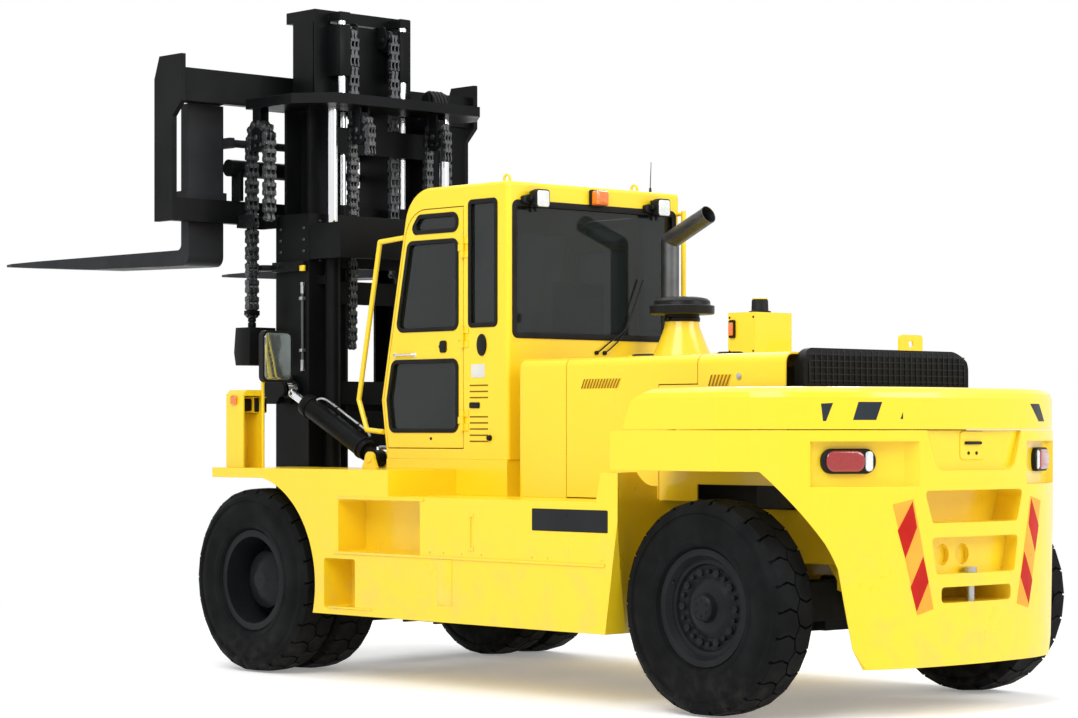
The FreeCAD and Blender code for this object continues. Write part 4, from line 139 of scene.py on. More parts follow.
class Finish:
    """A Principled material with helpers for procedural colour, roughness and relief."""

    def __init__(self, name, colour, roughness, **inputs):
        self.mat = bpy.data.materials.new(name)
        self.mat.use_nodes = True
        self.tree = self.mat.node_tree
        self.shader = self.tree.nodes["Principled BSDF"]
        inputs = {"Base_Color": (*colour, 1), "Roughness": roughness, "Coat_Roughness": 0.08, **inputs}
        for key, value in inputs.items():
            self.shader.inputs[key.replace("_", " ")].default_value = value
        self.coords = self.node("TexCoord").outputs["Object"]
        self.colour = self.node("RGB").outputs[0]
        self.colour.default_value = (*colour, 1)
        self.relief = None

    def node(self, kind, props=(), **inputs):
        made = new_node(self.tree, kind, **inputs)
        for key, value in dict(props).items():
            setattr(made, key, value)
        return made

    def link(self, a, b):
        self.tree.links.new(a, b)

    def texture(self, kind, props=(), stretch=None, **inputs):
        """A texture in the shared frame's metres."""
        made = self.node("Tex" + kind, props, **inputs)
        source = self.coords
        if stretch:
            mapping = self.node("Mapping", Scale=stretch)
            self.link(source, mapping.inputs["Vector"])
            source = mapping.outputs[0]
        self.link(source, made.inputs["Vector"])
        return made

    def noise(self, scale, detail=4.0, stretch=None):
        return self.texture("Noise", stretch=stretch, Scale=scale, Detail=detail,
                            Roughness=0.5).outputs["Fac"]

    def ramp(self, value, start, end, to_low=0.0, to_high=1.0):
        made = self.node("MapRange", From_Min=start, From_Max=end, To_Min=to_low, To_Max=to_high)
        self.link(value, made.inputs["Value"])
        return made.outputs[0]

    def patches(self, scale, detail, start, end, most):
        """A blotchy mask that rises from 0 to most."""
        return self.ramp(self.noise(scale, detail), start, end, 0, most)

    def times(self, a, b):
        made = combine(self.tree, "Math", a, b)
        made.node.operation = "MULTIPLY"
        return made

    def tint(self, mask, colour):
        made = self.node("Mix", {"data_type": "RGBA"})
        self.link(mask, made.inputs["Factor"])
        self.link(self.colour, made.inputs[6])
        made.inputs[7].default_value = (*colour, 1)
        self.colour = made.outputs[2]

    def rough(self, scale, detail, low, high, stretch=None):
        value = self.ramp(self.noise(scale, detail, stretch), 0.3, 0.7, low, high)
        self.link(value, self.shader.inputs["Roughness"])

    def bump(self, height, strength, distance):
        made = self.node("Bump", Strength=strength, Distance=distance)
        self.link(height, made.inputs["Height"])
        if self.relief:
            self.link(self.relief, made.inputs["Normal"])
        self.relief = made.outputs[0]

    def soften(self, radius):
        """Rounds the hard edges of plate in the shading."""
        self.relief = self.bevel = self.node("Bevel", {"samples": 4}, Radius=radius).outputs[0]

    def edge_mask(self):
        """Near 1 on worn edges, 0 on flats. It needs soften first."""
        dot = self.node("VectorMath", {"operation": "DOT_PRODUCT"})
        self.link(self.node("NewGeometry").outputs["True Normal"], dot.inputs[0])
        self.link(self.bevel, dot.inputs[1])
        return self.ramp(dot.outputs["Value"], 1.0, 0.6)

    def height(self, start, end):
        """1 at the height start, 0 at end, in metres."""
        split = self.node("SeparateXYZ")
        self.link(self.coords, split.inputs[0])
        return self.ramp(split.outputs["Z"], start, end, 1.0, 0.0)

    def done(self):
        self.link(self.colour, self.shader.inputs["Base Color"])
        if self.relief:
            self.link(self.relief, self.shader.inputs["Normal"])
        return self.mat


def yellow_paint():
    f = Finish("yellow_paint", (0.93, 0.66, 0.012), 0.32, Coat_Weight=0.35)
    f.soften(0.006)
    f.tint(f.patches(0.9, 3, 0.45, 0.75, 0.22), (0.90, 0.59, 0.010))
    f.tint(f.times(f.height(0.25, 1.3), f.patches(6, 6, 0.45, 0.75, 0.35)),
           (0.55, 0.42, 0.18))  # dust, low down
    f.tint(f.times(f.edge_mask(), f.patches(24, 5, 0.56, 0.70, 0.5)), (0.42, 0.27, 0.06))  # wear
    f.rough(3.5, 5, 0.26, 0.40)
    f.bump(f.noise(160, 2), 0.04, 0.001)
    return f.done()


def black_paint(name, colour, rough):
    f = Finish(name, colour, 0.4, Specular_IOR_Level=0.08)
    f.soften(0.005)
    f.tint(f.patches(2.2, 4, 0.4, 0.7, 0.5), tuple(c * 1.9 + 0.003 for c in colour))
    f.tint(f.times(f.edge_mask(), f.patches(30, 5, 0.5, 0.66, 0.6)), (0.055, 0.058, 0.062))
    f.rough(5, 5, *rough)
    f.bump(f.noise(140, 2), 0.06, 0.001)
    return f.done()


def rubber():
    f = Finish("tyre_rubber", (0.0055, 0.0058, 0.0062), 0.75, Specular_IOR_Level=0.05)
    f.tint(f.patches(5, 6, 0.4, 0.75, 0.5), (0.016, 0.017, 0.018))
    f.tint(f.times(f.height(0.0, 0.35), f.patches(14, 6, 0.45, 0.7, 0.45)), (0.055, 0.05, 0.042))
    f.rough(9, 5, 0.52, 0.74)
    f.bump(f.noise(90, 4), 0.18, 0.002)
    return f.done()


def chrome():
    f = Finish("chrome", (0.80, 0.81, 0.82), 0.10, Metallic=1.0)
    f.rough(30, 3, 0.07, 0.17, stretch=(1, 1, 0.1))
    return f.done()


def glass():
    f = Finish("tinted_glass", (0.006, 0.010, 0.010), 0.04, Coat_Weight=0.35, Alpha=0.74,
               Specular_IOR_Level=0.30, Coat_Roughness=0.02)
    f.tint(f.patches(1.5, 2, 0.4, 0.8, 0.4), (0.02, 0.026, 0.028))
    f.bump(f.noise(1.2, 1), 0.03, 0.01)
    return f.done()


def plastic(name, colour, rough=0.5):
    f = Finish(name, colour, rough, Specular_IOR_Level=0.14)
    f.soften(0.003)
    f.tint(f.patches(4, 4, 0.4, 0.7, 0.35), tuple(min(1, c * 1.5 + 0.006) for c in colour))
    f.rough(12, 4, rough - 0.08, rough + 0.08)
    f.bump(f.noise(260, 3), 0.15, 0.0008)
    return f.done()


def steel(name, colour, rough):
    f = Finish(name, colour, rough, Metallic=0.9)
    f.soften(0.003)
    f.tint(f.patches(9, 5, 0.4, 0.75, 0.5), tuple(c * 0.55 for c in colour))
    f.rough(16, 5, rough - 0.08, rough + 0.12, stretch=(1, 1, 4))
    f.bump(f.noise(110, 3), 0.08, 0.001)
    return f.done()


def cloth():
    f = Finish("seat_cloth", (0.022, 0.023, 0.026), 0.9, Sheen_Weight=0.25)
    weave = f.times(*(
        f.texture("Wave", {"wave_type": "BANDS", "bands_direction": way},
                  Scale=220).outputs["Fac"] for way in "XY"))
    f.tint(f.ramp(weave, 0, 1, 0, 0.6), (0.05, 0.052, 0.058))
    f.bump(weave, 0.3, 0.001)
    return f.done()


def lens(name, colour, glow=0.0):
    f = Finish(name, colour, 0.12, Coat_Weight=1.0, Emission_Color=(*colour, 1), Emission_Strength=glow)
    ribs = f.texture("Voronoi", Scale=60).outputs["Distance"]
    f.tint(f.ramp(ribs, 0.1, 0.8, 0, 0.4), tuple(c * 0.55 for c in colour))
    f.bump(ribs, 0.3, 0.002)
    return f.done()


MAT = {
    "yellow": yellow_paint(),
    "black": black_paint("black_paint", (0.0045, 0.0048, 0.0052), (0.30, 0.46)),
    "wheel": black_paint("wheel_paint", (0.010, 0.011, 0.012), (0.24, 0.40)),
    "axle": black_paint("axle_paint", (0.014, 0.015, 0.016), (0.40, 0.60)),
    "rubber": rubber(),
    "chrome": chrome(),
    "glass": glass(),
    "plastic": plastic("black_plastic", (0.010, 0.0105, 0.011)),
    "cap": plastic("cap_plastic", (0.008, 0.0085, 0.009), 0.38),
    "trim": plastic("cab_trim", (0.055, 0.058, 0.062), 0.6),
    "seal": plastic("rubber_seal", (0.008, 0.008, 0.009), 0.6),
    "cloth": cloth(),
    "iron": black_paint("engine_iron", (0.05, 0.055, 0.06), (0.5, 0.7)),
    "exhaust": steel("exhaust_steel", (0.12, 0.125, 0.13), 0.42),
    "steel": steel("pin_steel", (0.50, 0.51, 0.52), 0.32),
    "chain": steel("chain_steel", (0.11, 0.115, 0.12), 0.36),
    "fork": black_paint("fork_steel", (0.020, 0.021, 0.023), (0.32, 0.5)),
    "red_lens": lens("red_lens", (0.34, 0.006, 0.004)),
    "amber_lens": lens("amber_lens", (0.85, 0.20, 0.01)),
    "clear_lens": lens("clear_lens", (0.72, 0.76, 0.78), 0.1),
    "mirror": steel("mirror_glass", (0.62, 0.72, 0.72), 0.06),
    # painted shade: the brown-orange colour of the shade inside louver slots and wall grooves
    "groove": plastic("groove_shade", (0.22, 0.11, 0.006), 0.6),
    "dark_stripe": plastic("dark_stripe", (0.020, 0.028, 0.035), 0.35),
    "red_stripe": plastic("red_stripe", (0.46, 0.012, 0.006), 0.35),
    "pale_stripe": plastic("pale_stripe", (0.85, 0.36, 0.04), 0.35),
    "hose": plastic("hose_rubber", (0.013, 0.013, 0.014)),
    "blank": plastic("pale_plate", (0.62, 0.62, 0.60), 0.4),
    "plate": plastic("blank_plate", (0.012, 0.013, 0.014), 0.35),
}
# the CAD nodes that take each finish, as name patterns
NODE_FINISH = {
    "yellow": "main_frame side_box_* tilt_brackets engine_hood engine_door_* cab_shell cab_base cab_door_* "
              "hood_case rear_hood handrails lamp_posts counterweight",
    "axle": "front_axle steer_axle knuckle_*",
    "wheel": "front_rim_* rear_rim_*",
    "rubber": "*tyre*",
    "black": "mast_* lift_barrels ram_barrels carriage tilt_barrel_* radiator_grille",
    "fork": "fork_*",
    "chrome": "lift_rods ram_rods tilt_rod_* steer_rod",
    "glass": "cab_glass door_glass_*",
    "iron": "engine radiator",
    "exhaust": "exhaust_stack",
    "cap": "mirrors",
    "trim": "cab_controls",
    "cloth": "seat_*",
    "red_lens": "lamps",
    "steel": "tow_pin",
    "plastic": "air_precleaner",
}
for finish, patterns in NODE_FINISH.items():
    for node_name in NODES:
        if any(fnmatchcase(node_name, pattern) for pattern in patterns.split()):
            slots = NODES[node_name].data.materials
            slots.clear()
            slots.append(MAT[finish])


def lay_floor():
    """A pale floor that keeps the shadow near the object and fades to white further off."""
    mesh = bpy.data.meshes.new("floor")
    mesh.from_pydata([(x, y, 0) for x, y in rectangle(-40, -40, 40, 40)], [], [(0, 1, 2, 3)])
    floor = add_object("floor", mesh)
    mat = bpy.data.materials.new("floor")
    mat.use_nodes = True
    tree = mat.node_tree
    base = tree.nodes["Principled BSDF"]
    base.inputs["Base Color"].default_value = (0.92, 0.92, 0.92, 1)
    base.inputs["Roughness"].default_value = 0.9
    pale = combine(tree, "AddShader", base.outputs[0], new_node(tree, "Emission", Strength=0.25).outputs[0])
    length = new_node(tree, "VectorMath")
    length.operation = "LENGTH"
    tree.links.new(new_node(tree, "TexCoord").outputs["Object"], length.inputs[0])
    away = new_node(tree, "MapRange", From_Min=3.5, From_Max=8.0)
    tree.links.new(length.outputs["Value"], away.inputs["Value"])
    fade = combine(tree, "MixShader", away.outputs[0], pale, new_node(tree, "Emission").outputs[0])
    seen = combine(tree, "MixShader", seen_rays(tree), base.outputs[0], fade)
    tree.links.new(seen, tree.nodes["Material Output"].inputs[0])
    mesh.materials.append(mat)


# ---------------------------------------------------------------- mesh helpers

AXES = {
    "X": lambda p, t: (t, p[0], p[1]),
    "Y": lambda p, t: (p[0], t, p[1]),
    "Z": lambda p, t: (p[0], p[1], t),
}


def circle(count, radius=1.0, turn=0.0):
    """Points evenly round a circle, the first one turned by a part of a step."""
    angles = [2 * pi * (k + turn) / count for k in range(count)]
    return [(radius * cos(a), radius * sin(a)) for a in angles]


class Shape:
    """Closed forms joined in one mesh. Metres, in the shared frame.

    Places are given for the left side, and sign -1 puts them on the right.
    """

    def __init__(self, sign=1):
        self.bm = bmesh.new()
        self.sign = sign

    def place(self, p):
        return Vector((self.sign * p[0], p[1], p[2]))

    def loft(self, rings, around=False):
        """Skins rings of points that have the same count. "around" joins the last ring to the first."""
        rows = [[self.bm.verts.new(p) for p in ring] for ring in rings]
        count = len(rows[0])
        pairs = list(zip(rows, rows[1:])) + ([(rows[-1], rows[0])] if around else [])
        for a, b in pairs:
            for k in range(count):
                m = (k + 1) % count
                self.bm.faces.new((a[k], a[m], b[m], b[k]))
        if not around:
            self.bm.faces.new(list(reversed(rows[0])))
            self.bm.faces.new(rows[-1])
        return self

    def prism(self, outline, axis, start, end):
        """Extrudes an outline along an axis: X takes (y, z) points, Y takes (x, z), Z takes (x, y)."""
        at = AXES[axis]
        return self.loft([[self.place(at(p, t)) for p in outline] for t in (start, end)])

    def box(self, a, b):
        x = sorted((self.sign * a[0], self.sign * b[0]))
        return self.loft([[(*p, z) for p in rectangle(x[0], a[1], x[1], b[1])] for z in (a[2], b[2])])

    def rod(self, a, b, radius, steps=16, end_radius=None):
        a, b = self.place(a), self.place(b)
        turn = (b - a).to_track_quat("Z", "Y")
        rings = []
        for centre, r in ((a, radius), (b, radius if end_radius is None else end_radius)):
            rings.append([centre + turn @ Vector((*p, 0)) for p in circle(steps, r)])
        return self.loft(rings)

    def lathe(self, profile, centre, steps=64, axis="X"):
        """Turns a closed profile of (along, radius) points about an axis through centre."""
        rings = []
        for c, s in circle(steps):
            place = {
                "X": lambda t, r: (t * self.sign, r * c, r * s),
                "Z": lambda t, r: (r * c, r * s, t),
            }[axis]
            rings.append([self.place(centre) + Vector(place(t, r)) for t, r in profile])
        return self.loft(rings, around=True)

    def tube(self, path, radius, steps=10, smooth=6):
        """A round tube along a smooth line through the path's points."""
        points = smooth_line([self.place(p) for p in path], smooth)
        rings = []
        side = None
        for k, p in enumerate(points):
            ahead = (points[min(k + 1, len(points) - 1)] - points[max(k - 1, 0)]).normalized()
            if side is None:
                side = ahead.orthogonal().normalized()
            side = (side - ahead * side.dot(ahead)).normalized()
            up = ahead.cross(side)
            rings.append([p + radius * (side * c + up * s) for c, s in circle(steps)])
        return self.loft(rings)

    def hex_nut(self, centre, direction, across, height):
        a = Vector(centre)
        return self.rod(a, a + Vector(direction).normalized() * height, across * 0.577, 6)

    def bolt(self, centre, direction, size):
        """A washer and a hexagon head on a surface."""
        a, d = Vector(centre), Vector(direction).normalized()
        self.rod(a - d * size * 0.3, a + d * size * 0.16, size * 1.05, 14)
        return self.rod(a, a + d * size * 0.75, size * 0.9, 6)

    def screw(self, centre, direction, size):
        """A pan head with a cross slot's rim."""
        a, d = Vector(centre), Vector(direction).normalized()
        self.rod(a - d * size * 0.2, a + d * size * 0.35, size, 14)
        return self.rod(a + d * size * 0.35, a + d * size * 0.6, size, 14, size * 0.6)

    def band(self, outer, inner, axis, start, end):
        """A flat frame between two outlines with the same count of points."""
        at = AXES[axis]
        rings = [[self.place(at(p, t)) for p, t in ((o, start), (o, end), (i, end), (i, start))]
                 for o, i in zip(outer, inner)]
        return self.loft(rings, around=True)

    def seal(self, outline, axis, start, end, inside, radius):
        """A rubber frame round a window: outline plus and minus a margin, with round corners."""
        edges = [round_corners(offset(outline, m), max(0.01, radius + m), 5) for m in (0.006, -inside)]
        return self.band(*edges, axis, start, end)

    def pill(self, at, lowest, highest, radius, layers):
        """A domed plate with round corners. Each layer is an inset and a depth."""
        rings = []
        for inset, depth in layers:
            outline = rectangle(lowest[0] + inset, lowest[1] + inset, highest[0] - inset, highest[1] - inset)
            corners = round_corners(outline, max(0.004, radius - inset), 5)
            rings.append([self.place(at(p[0], depth, p[1])) for p in corners])
        return self.loft(rings)

    def hood_pad(self, y, half):
        """A long rubber pad with a domed top, lying on the hood."""
        middle = self.place((0.700, y, 0))
        layers = (1.0, 2.0645), (1.0, 2.0726), (0.86, 2.078)
        return self.loft([[middle + Vector((0.030 * c, half * s, z)) for c, s in circle(28, grow)]
                          for grow, z in layers])

    def mirror(self):
        """Adds the same forms on the other side of X = 0."""
        made = bmesh.ops.duplicate(self.bm, geom=self.bm.verts[:] + self.bm.edges[:] + self.bm.faces[:])
        verts = [v for v in made["geom"] if isinstance(v, bmesh.types.BMVert)]
        faces = [f for f in made["geom"] if isinstance(f, bmesh.types.BMFace)]
        for v in verts:
            v.co.x = -v.co.x
        bmesh.ops.reverse_faces(self.bm, faces=faces)
        return self

    def make(self, name, finish, body="chassis", slot=None, replaces=(), edge=0.0, sharp=35):
        bmesh.ops.recalc_face_normals(self.bm, faces=self.bm.faces[:])
        mesh = bpy.data.meshes.new(name)
        self.bm.to_mesh(mesh)
        self.bm.free()
        obj = add_object(name, mesh)
        mesh.materials.append(MAT[finish])
        if edge:
            bevel = obj.modifiers.new("bevel", "BEVEL")
            bevel.width = edge
            bevel.segments = 2
            bevel.limit_method = "ANGLE"
            bevel.angle_limit = radians(30)
            apply_modifiers(obj)
        for polygon in obj.data.polygons:
            polygon.use_smooth = True
        obj.data.set_sharp_from_angle(angle=radians(sharp))
        if body:
            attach(obj, body)
        if replaces:
            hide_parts(*replaces)
        return obj


def apply_modifiers(obj):
    bpy.context.view_layer.update()
    done = bpy.data.meshes.new_from_object(obj.evaluated_get(bpy.context.evaluated_depsgraph_get()))
    obj.modifiers.clear()
    old = obj.data
    obj.data = done
    bpy.data.meshes.remove(old)


def smooth_line(path, steps):
    """Points on a Catmull-Rom line through the path."""
    points = [Vector(p) for p in path]
    if steps < 2 or len(points) < 3:
        return points
    line = []
    for k in range(len(points) - 1):
        p0, p1, p2 = points[max(k - 1, 0)], points[k], points[k + 1]
        p3 = points[min(k + 2, len(points) - 1)]
        for m in range(steps):
            t = m / steps
            line.append(0.5 * (
                2 * p1 + (p2 - p0) * t + (2 * p0 - 5 * p1 + 4 * p2 - p3) * t * t
                + (3 * p1 - p0 - 3 * p2 + p3) * t ** 3
            ))
    return line + [points[-1]]


def round_corners(points, radius, steps=4):
    """The outline with each corner rounded to the radius."""
    done = []
    count = len(points)
    for k in range(count):
        a, b, c = Vector(points[k - 1]), Vector(points[k]), Vector(points[(k + 1) % count])
        u, v = (a - b).normalized(), (c - b).normalized()
        half = acos(max(-1, min(1, u.dot(v)))) / 2
        reach = min(radius / tan(half), (a - b).length * 0.49, (c - b).length * 0.49)
        r = reach * tan(half)
        middle = b + (u + v).normalized() * r / sin(half)
        start, end = b + u * reach - middle, b + v * reach - middle
        for m in range(steps + 1):
            way = start.lerp(end, m / steps).normalized() * r
            done.append(tuple(middle + way))
    return done


def rectangle(a, b, c, d, radius=0):
    """Corners of a flat rectangle from (a, b) to (c, d)."""
    points = [(a, b), (c, b), (c, d), (a, d)]
    return round_corners(points, radius) if radius else points


lay_floor()

# ---------------------------------------------------------------- tyres

FRONT_Y, REAR_Y, AXLE_Z = -0.825, 3.285, 0.615  # the axles' places


def tyre_piece(node, body, sign):
    """A tyre with two columns of interlocked tread blocks over a plain carcass."""
    near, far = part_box(node)
    centre = (near + far) / 2
    width, radius = (far.x - near.x), (far.z - near.z) / 2
    half, tread = width / 2, width * 0.40
    groove = 0.024
    shape = Shape()
    side = [
        (half - 0.052, 0.306), (half - 0.050, 0.338), (half - 0.022, 0.352), (half - 0.012, 0.372),
        (half - 0.010, 0.388), (half - 0.013, 0.396), (half - 0.006, 0.430), (half - 0.0015, 0.470),
        (half - 0.004, 0.505), (half - 0.012, 0.520), (half - 0.013, 0.532), (half - 0.006, 0.538),
        (half - 0.008, 0.560), (half - 0.026, radius - 0.030), (tread, radius - groove - 0.008),
    ]
    across = [(tread * t, radius - groove - 0.008 * t * t) for t in (0.5, 0, -0.5)]
    profile = side + across + [(-x, r) for x, r in reversed(side)]
    shape.lathe(profile, centre, steps=96)
    count = 26
    pitch = 2 * pi / count

    def top(x):
        return radius - 0.010 * (abs(x) / tread) ** 2.5 - 0.0006

    def block(column, index):
        def spot(x, along, r):
            """A place on the tyre: x across from its middle, along in pitches, r from the axle."""
            angle = (index + along + (0.5 if column < 0 else 0)) * pitch * column
            return Vector((x * sign, r * cos(angle), r * sin(angle))) + centre

        gap = 0.045
        rows = [[], []]
        for x, along in ((1.0, gap), (0.48, 0.14 + gap), (0.09, -0.01 + gap), (-0.09, 0.48),
                         (0.09, 0.97 - gap * 0.4), (0.48, 1.14 - gap), (1.0, 1.0 - gap)):
            rows[0].append(spot(column * tread * x, along, radius - groove - 0.012))
            inner = column * tread * (x - 0.004 / tread * (1 if x > 0.5 else -1))
            rows[1].append(spot(inner, along, top(inner)))
        shape.loft(rows)
        lug = [(tread * 0.97, top(tread)), (half - 0.020, radius - 0.034), (half - 0.010, radius - 0.062),
               (tread * 0.9, radius - 0.050)]
        shape.loft([[spot(column * x, along, r) for x, r in lug] for along in (gap + 0.02, 0.97 - gap)])

    for index in range(count):
        for column in (1, -1):
            block(column, index)
    return shape.make(f"{node}_treaded", "rubber", body, replaces=(node,), sharp=28)


for side, sign in SIDES:
    for place in ("inner", "outer"):
        tyre_piece(f"front_tyre_{side}_{place}", f"front_wheels_{side}", sign)
    tyre_piece(f"rear_tyre_{side}", f"rear_wheel_{side}", sign)


for side, sign in SIDES:
    for end, x, y, ring, body in (("front", 1.0625, FRONT_Y, 0.252, f"front_wheels_{side}"),
                                  ("rear", 1.209, REAR_Y, 0.205, f"rear_wheel_{side}")):
        nuts = Shape(sign)
        for across, up in circle(10, ring):
            washer, nut = (Vector((at, y + across, AXLE_Z + up)) for at in (x, x + 0.004))
            nuts.rod(washer, nut, 0.0289, 18)
            nuts.hex_nut(nut, SIDEWAYS, 0.0425, 0.020)
        nuts.make(f"{end}_wheel_nuts_{side}", "wheel", body, edge=0.0015)
    cap = Shape(sign)
    for y, z in circle(6, 0.045, 0.5):
        cap.bolt((1.2885, REAR_Y + y, AXLE_Z + z), SIDEWAYS, 0.008)
    for ring_radius, where in ((0.272, 0.085), (0.283, 0.098), (0.294, 0.112)):
        cap.lathe([(where, ring_radius), (where + 0.006, ring_radius + 0.003),
                   (where + 0.004, ring_radius + 0.010), (where - 0.004, ring_radius + 0.008)],
                  (1.149, REAR_Y, AXLE_Z))
    cap.rod((1.258, REAR_Y - 0.235, AXLE_Z + 0.13), (1.262, REAR_Y - 0.255, AXLE_Z + 0.14), 0.006)
    cap.make(f"rear_wheel_rings_{side}", "wheel", f"rear_wheel_{side}")

# ---------------------------------------------------------------- chains

def along(points, spacing):
    """Places at an even spacing along straight runs of (y, z) points."""
    places, left = [], 0.0
    for a, b in zip(points, points[1:]):
        a, b = Vector(a), Vector(b)
        length = (b - a).length
        at = left
        while at <= length:
            places.append(a.lerp(b, at / length))
            at += spacing
        left = at - length
    return places


def chain_piece(name, body, x, points, width=0.088, deep=0.050):
    """A leaf chain in a plane of constant X: stacks of waisted plates, shared by pins."""
    shape, r = Shape(), deep / 2
    places = along(points, 0.058)
    for k, (a, b) in enumerate(zip(places, places[1:])):
        d = (b - a).normalized() * r
        n = Vector((-d.y, d.x))
        edge = (a, -0.5, 1), (a, 0.45, 1), ((a + b) / 2, 0, 0.72), (b, -0.45, 1), (b, 0.5, 1)
        outline = [a - d * 0.92, *(p + d * t + n * out for p, t, out in edge),
                   b + d * 0.92, *(p + d * t - n * out for p, t, out in reversed(edge))]
        thick = width * (0.12 if k % 2 else 0.28)
        for start in (-0.5, -0.06, 0.38) if k % 2 else (-0.36, 0.08):
            left = x + start * width
            shape.prism(outline, "X", left, left + thick)
    for a in places:
        shape.rod((x - width * 0.56, *a), (x + width * 0.56, *a), deep * 0.24, 8)
    return shape.make(name, "chain", body)


def arc(centre, radius, start, end, steps=7):
    """Points on an arc of (y, z) between two angles in degrees."""
    turns = [radians(start + (end - start) * k / steps) for k in range(steps + 1)]
    return [(centre[0] + radius * cos(turn), centre[1] + radius * sin(turn)) for turn in turns]


# ---------------------------------------------------------------- surfaces to lie on

TREES = {}
BEHIND = 4.6  # a y behind the whole truck


def surface(node, origin, direction):
    """Where a ray first meets a CAD node: the point and the surface's normal."""
    if node not in TREES:
        mesh = NODES[node].data
        TREES[node] = BVHTree.FromPolygons([v.co for v in mesh.vertices], [p.vertices for p in mesh.polygons])
    spot, normal, _, _ = TREES[node].ray_cast(Vector(origin), Vector(direction).normalized())
    if spot is None:
        raise RuntimeError(f"nothing of {node} lies ahead of {origin}")
    if normal.dot(Vector(direction)) > 0:
        normal = -normal
    return spot, normal


def decal(name, node, outline, finish, body, slot, thick=0.0012):
    """A thin film of one colour on the tail: an (x, z) outline thrown forward onto a node."""
    way = Vector((0, -1, 0))
    bm = bmesh.new()
    bm.faces.new([bm.verts.new((x, BEHIND, z)) for x, z in outline])
    bmesh.ops.triangulate(bm, faces=bm.faces[:])
    for _ in range(6):
        edges = [e for e in bm.edges if e.calc_length() > 0.03]
        if not edges:
            break
        bmesh.ops.subdivide_edges(bm, edges=edges, cuts=1)
        bmesh.ops.triangulate(bm, faces=bm.faces[:])
    for v in bm.verts:
        spot, _ = surface(node, v.co, way)
        v.co = spot - way * thick
    film = bmesh.ops.extrude_face_region(bm, geom=bm.faces[:])
    for v in [g for g in film["geom"] if isinstance(g, bmesh.types.BMVert)]:
        v.co += way * thick * 2
    shape = Shape()
    shape.bm.free()
    shape.bm = bm
    return shape.make(name, finish, body, slot, sharp=50)


# ---------------------------------------------------------------- mast

MAST_SIDE = 0.6602
TILT_CYLINDER = radians(25.85)
# the axes of the sheaves and of the hose roller, as (y, z), and where the chains hang, as (x, y)
SIDE_SHEAVE, STAGE_SHEAVE, CROWN, ROLLER = (-1.415, 3.655), (-0.875, 3.70), (-1.216, 4.40), (-1.13, 3.985)
SIDE_CHAIN, CARRIAGE_CHAIN, STAGE_CHAIN_X = (0.81, -1.515), (0.185, -1.161), 0.349

for side, sign in SIDES:
    x, y = SIDE_CHAIN
    run = chain_piece(f"side_chain_{side}", None, sign * x, [(y, 2.42), (y, 3.66)])
    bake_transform(run)
    chain_piece(f"side_chain_over_{side}", "mast_middle", sign * x,
                arc(SIDE_SHEAVE, 0.098, 180, 0, 8) + [(-1.317, 3.05)])
    (Shape(sign)
     .prism([(-1.60, 2.07), (-1.44, 2.07), (-1.435, 2.22), (-1.435, 2.335), (-1.60, 2.335), (-1.62, 2.16)],
            "X", 0.662, 0.89)
     .rod((x, y, 2.28), (x, y, 2.45), 0.022, 16)
     .hex_nut((x, y, 2.336), (0, 0, 1), 0.055, 0.035)
     .hex_nut((x, y, 2.376), (0, 0, 1), 0.055, 0.022)
     .box((x - 0.048, -1.545, 2.42), (x + 0.048, -1.485, 2.455))
     .make(f"chain_anchor_{side}", "black", "mast_outer", edge=0.004))
    # the guard goes round the chain without touching it: a foot, an arm in front of it and a cheek outside it
    guard = Shape(sign)
    for near, far, front, back in ((0.661, 0.690, -1.578, -1.400), (0.661, 0.897, -1.578, -1.563),
                                   (0.885, 0.897, -1.578, -1.380)):
        guard.box((near, front, 3.03), (far, back, 3.118))
    for y in (-1.530, -1.430):
        guard.bolt((0.897, y, 3.074), SIDEWAYS, 0.011)
    guard.make(f"chain_guard_{side}", "black", "mast_outer", edge=0.003)
    # a flat plate on the mast's side, which ends short of the chain, and its small yellow mark
    stop = Shape(sign)
    stop.prism([(0.661, -1.43), (0.745, -1.48), (0.745, -1.600), (0.700, -1.600),
                (0.661, -1.58)], "Z", 2.735, 2.775)
    stop.box((0.661, -1.43, 2.72), (0.70, -1.08, 2.79))
    for y in (-1.36, -1.25, -1.14):
        stop.bolt((0.70, y, 2.755), SIDEWAYS, 0.012)
    stop.make(f"mast_stop_{side}", "black", "mast_outer", edge=0.003)
    (Shape(sign)
     .box((0.690, -1.110, 2.718), (0.708, -1.062, 2.758))
     .make(f"stop_mark_{side}", "yellow", "mast_outer", edge=0.003))

inner_top = Shape()
for sign in (1, -1):
    x = sign * CARRIAGE_CHAIN[0]
    inner_top.lathe([(-0.036, 0.015), (-0.036, 0.078), (-0.028, 0.078), (-0.022, 0.036), (0.022, 0.036),
                     (0.028, 0.078), (0.036, 0.078), (0.036, 0.015)], (x, *CROWN), steps=40)
    inner_top.rod((x - 0.075, *CROWN), (x + 0.075, *CROWN), 0.022, 20)
    cheek = round_corners([(-1.28, 4.34), (-1.19, 4.34), (-1.165, 4.42), (-1.19, 4.50), (-1.28, 4.50)], 0.03)
    for off in (-0.060, 0.048):
        inner_top.prism(cheek, "X", x + off, x + off + 0.012)
    inner_top.bolt((x + 0.062, *CROWN), (1, 0, 0), 0.016)
    # the dark heads that hide the top of each ram rod, and the plate behind them
    inner_top.box((sign * 0.276 - 0.048, -1.288, 4.11), (sign * 0.276 + 0.048, -1.138, 4.47))
inner_top.box((-0.44, -1.298, 3.95), (0.44, -1.286, 4.49))
inner_top.make("crosshead_sheaves", "black", "mast_inner", edge=0.002)
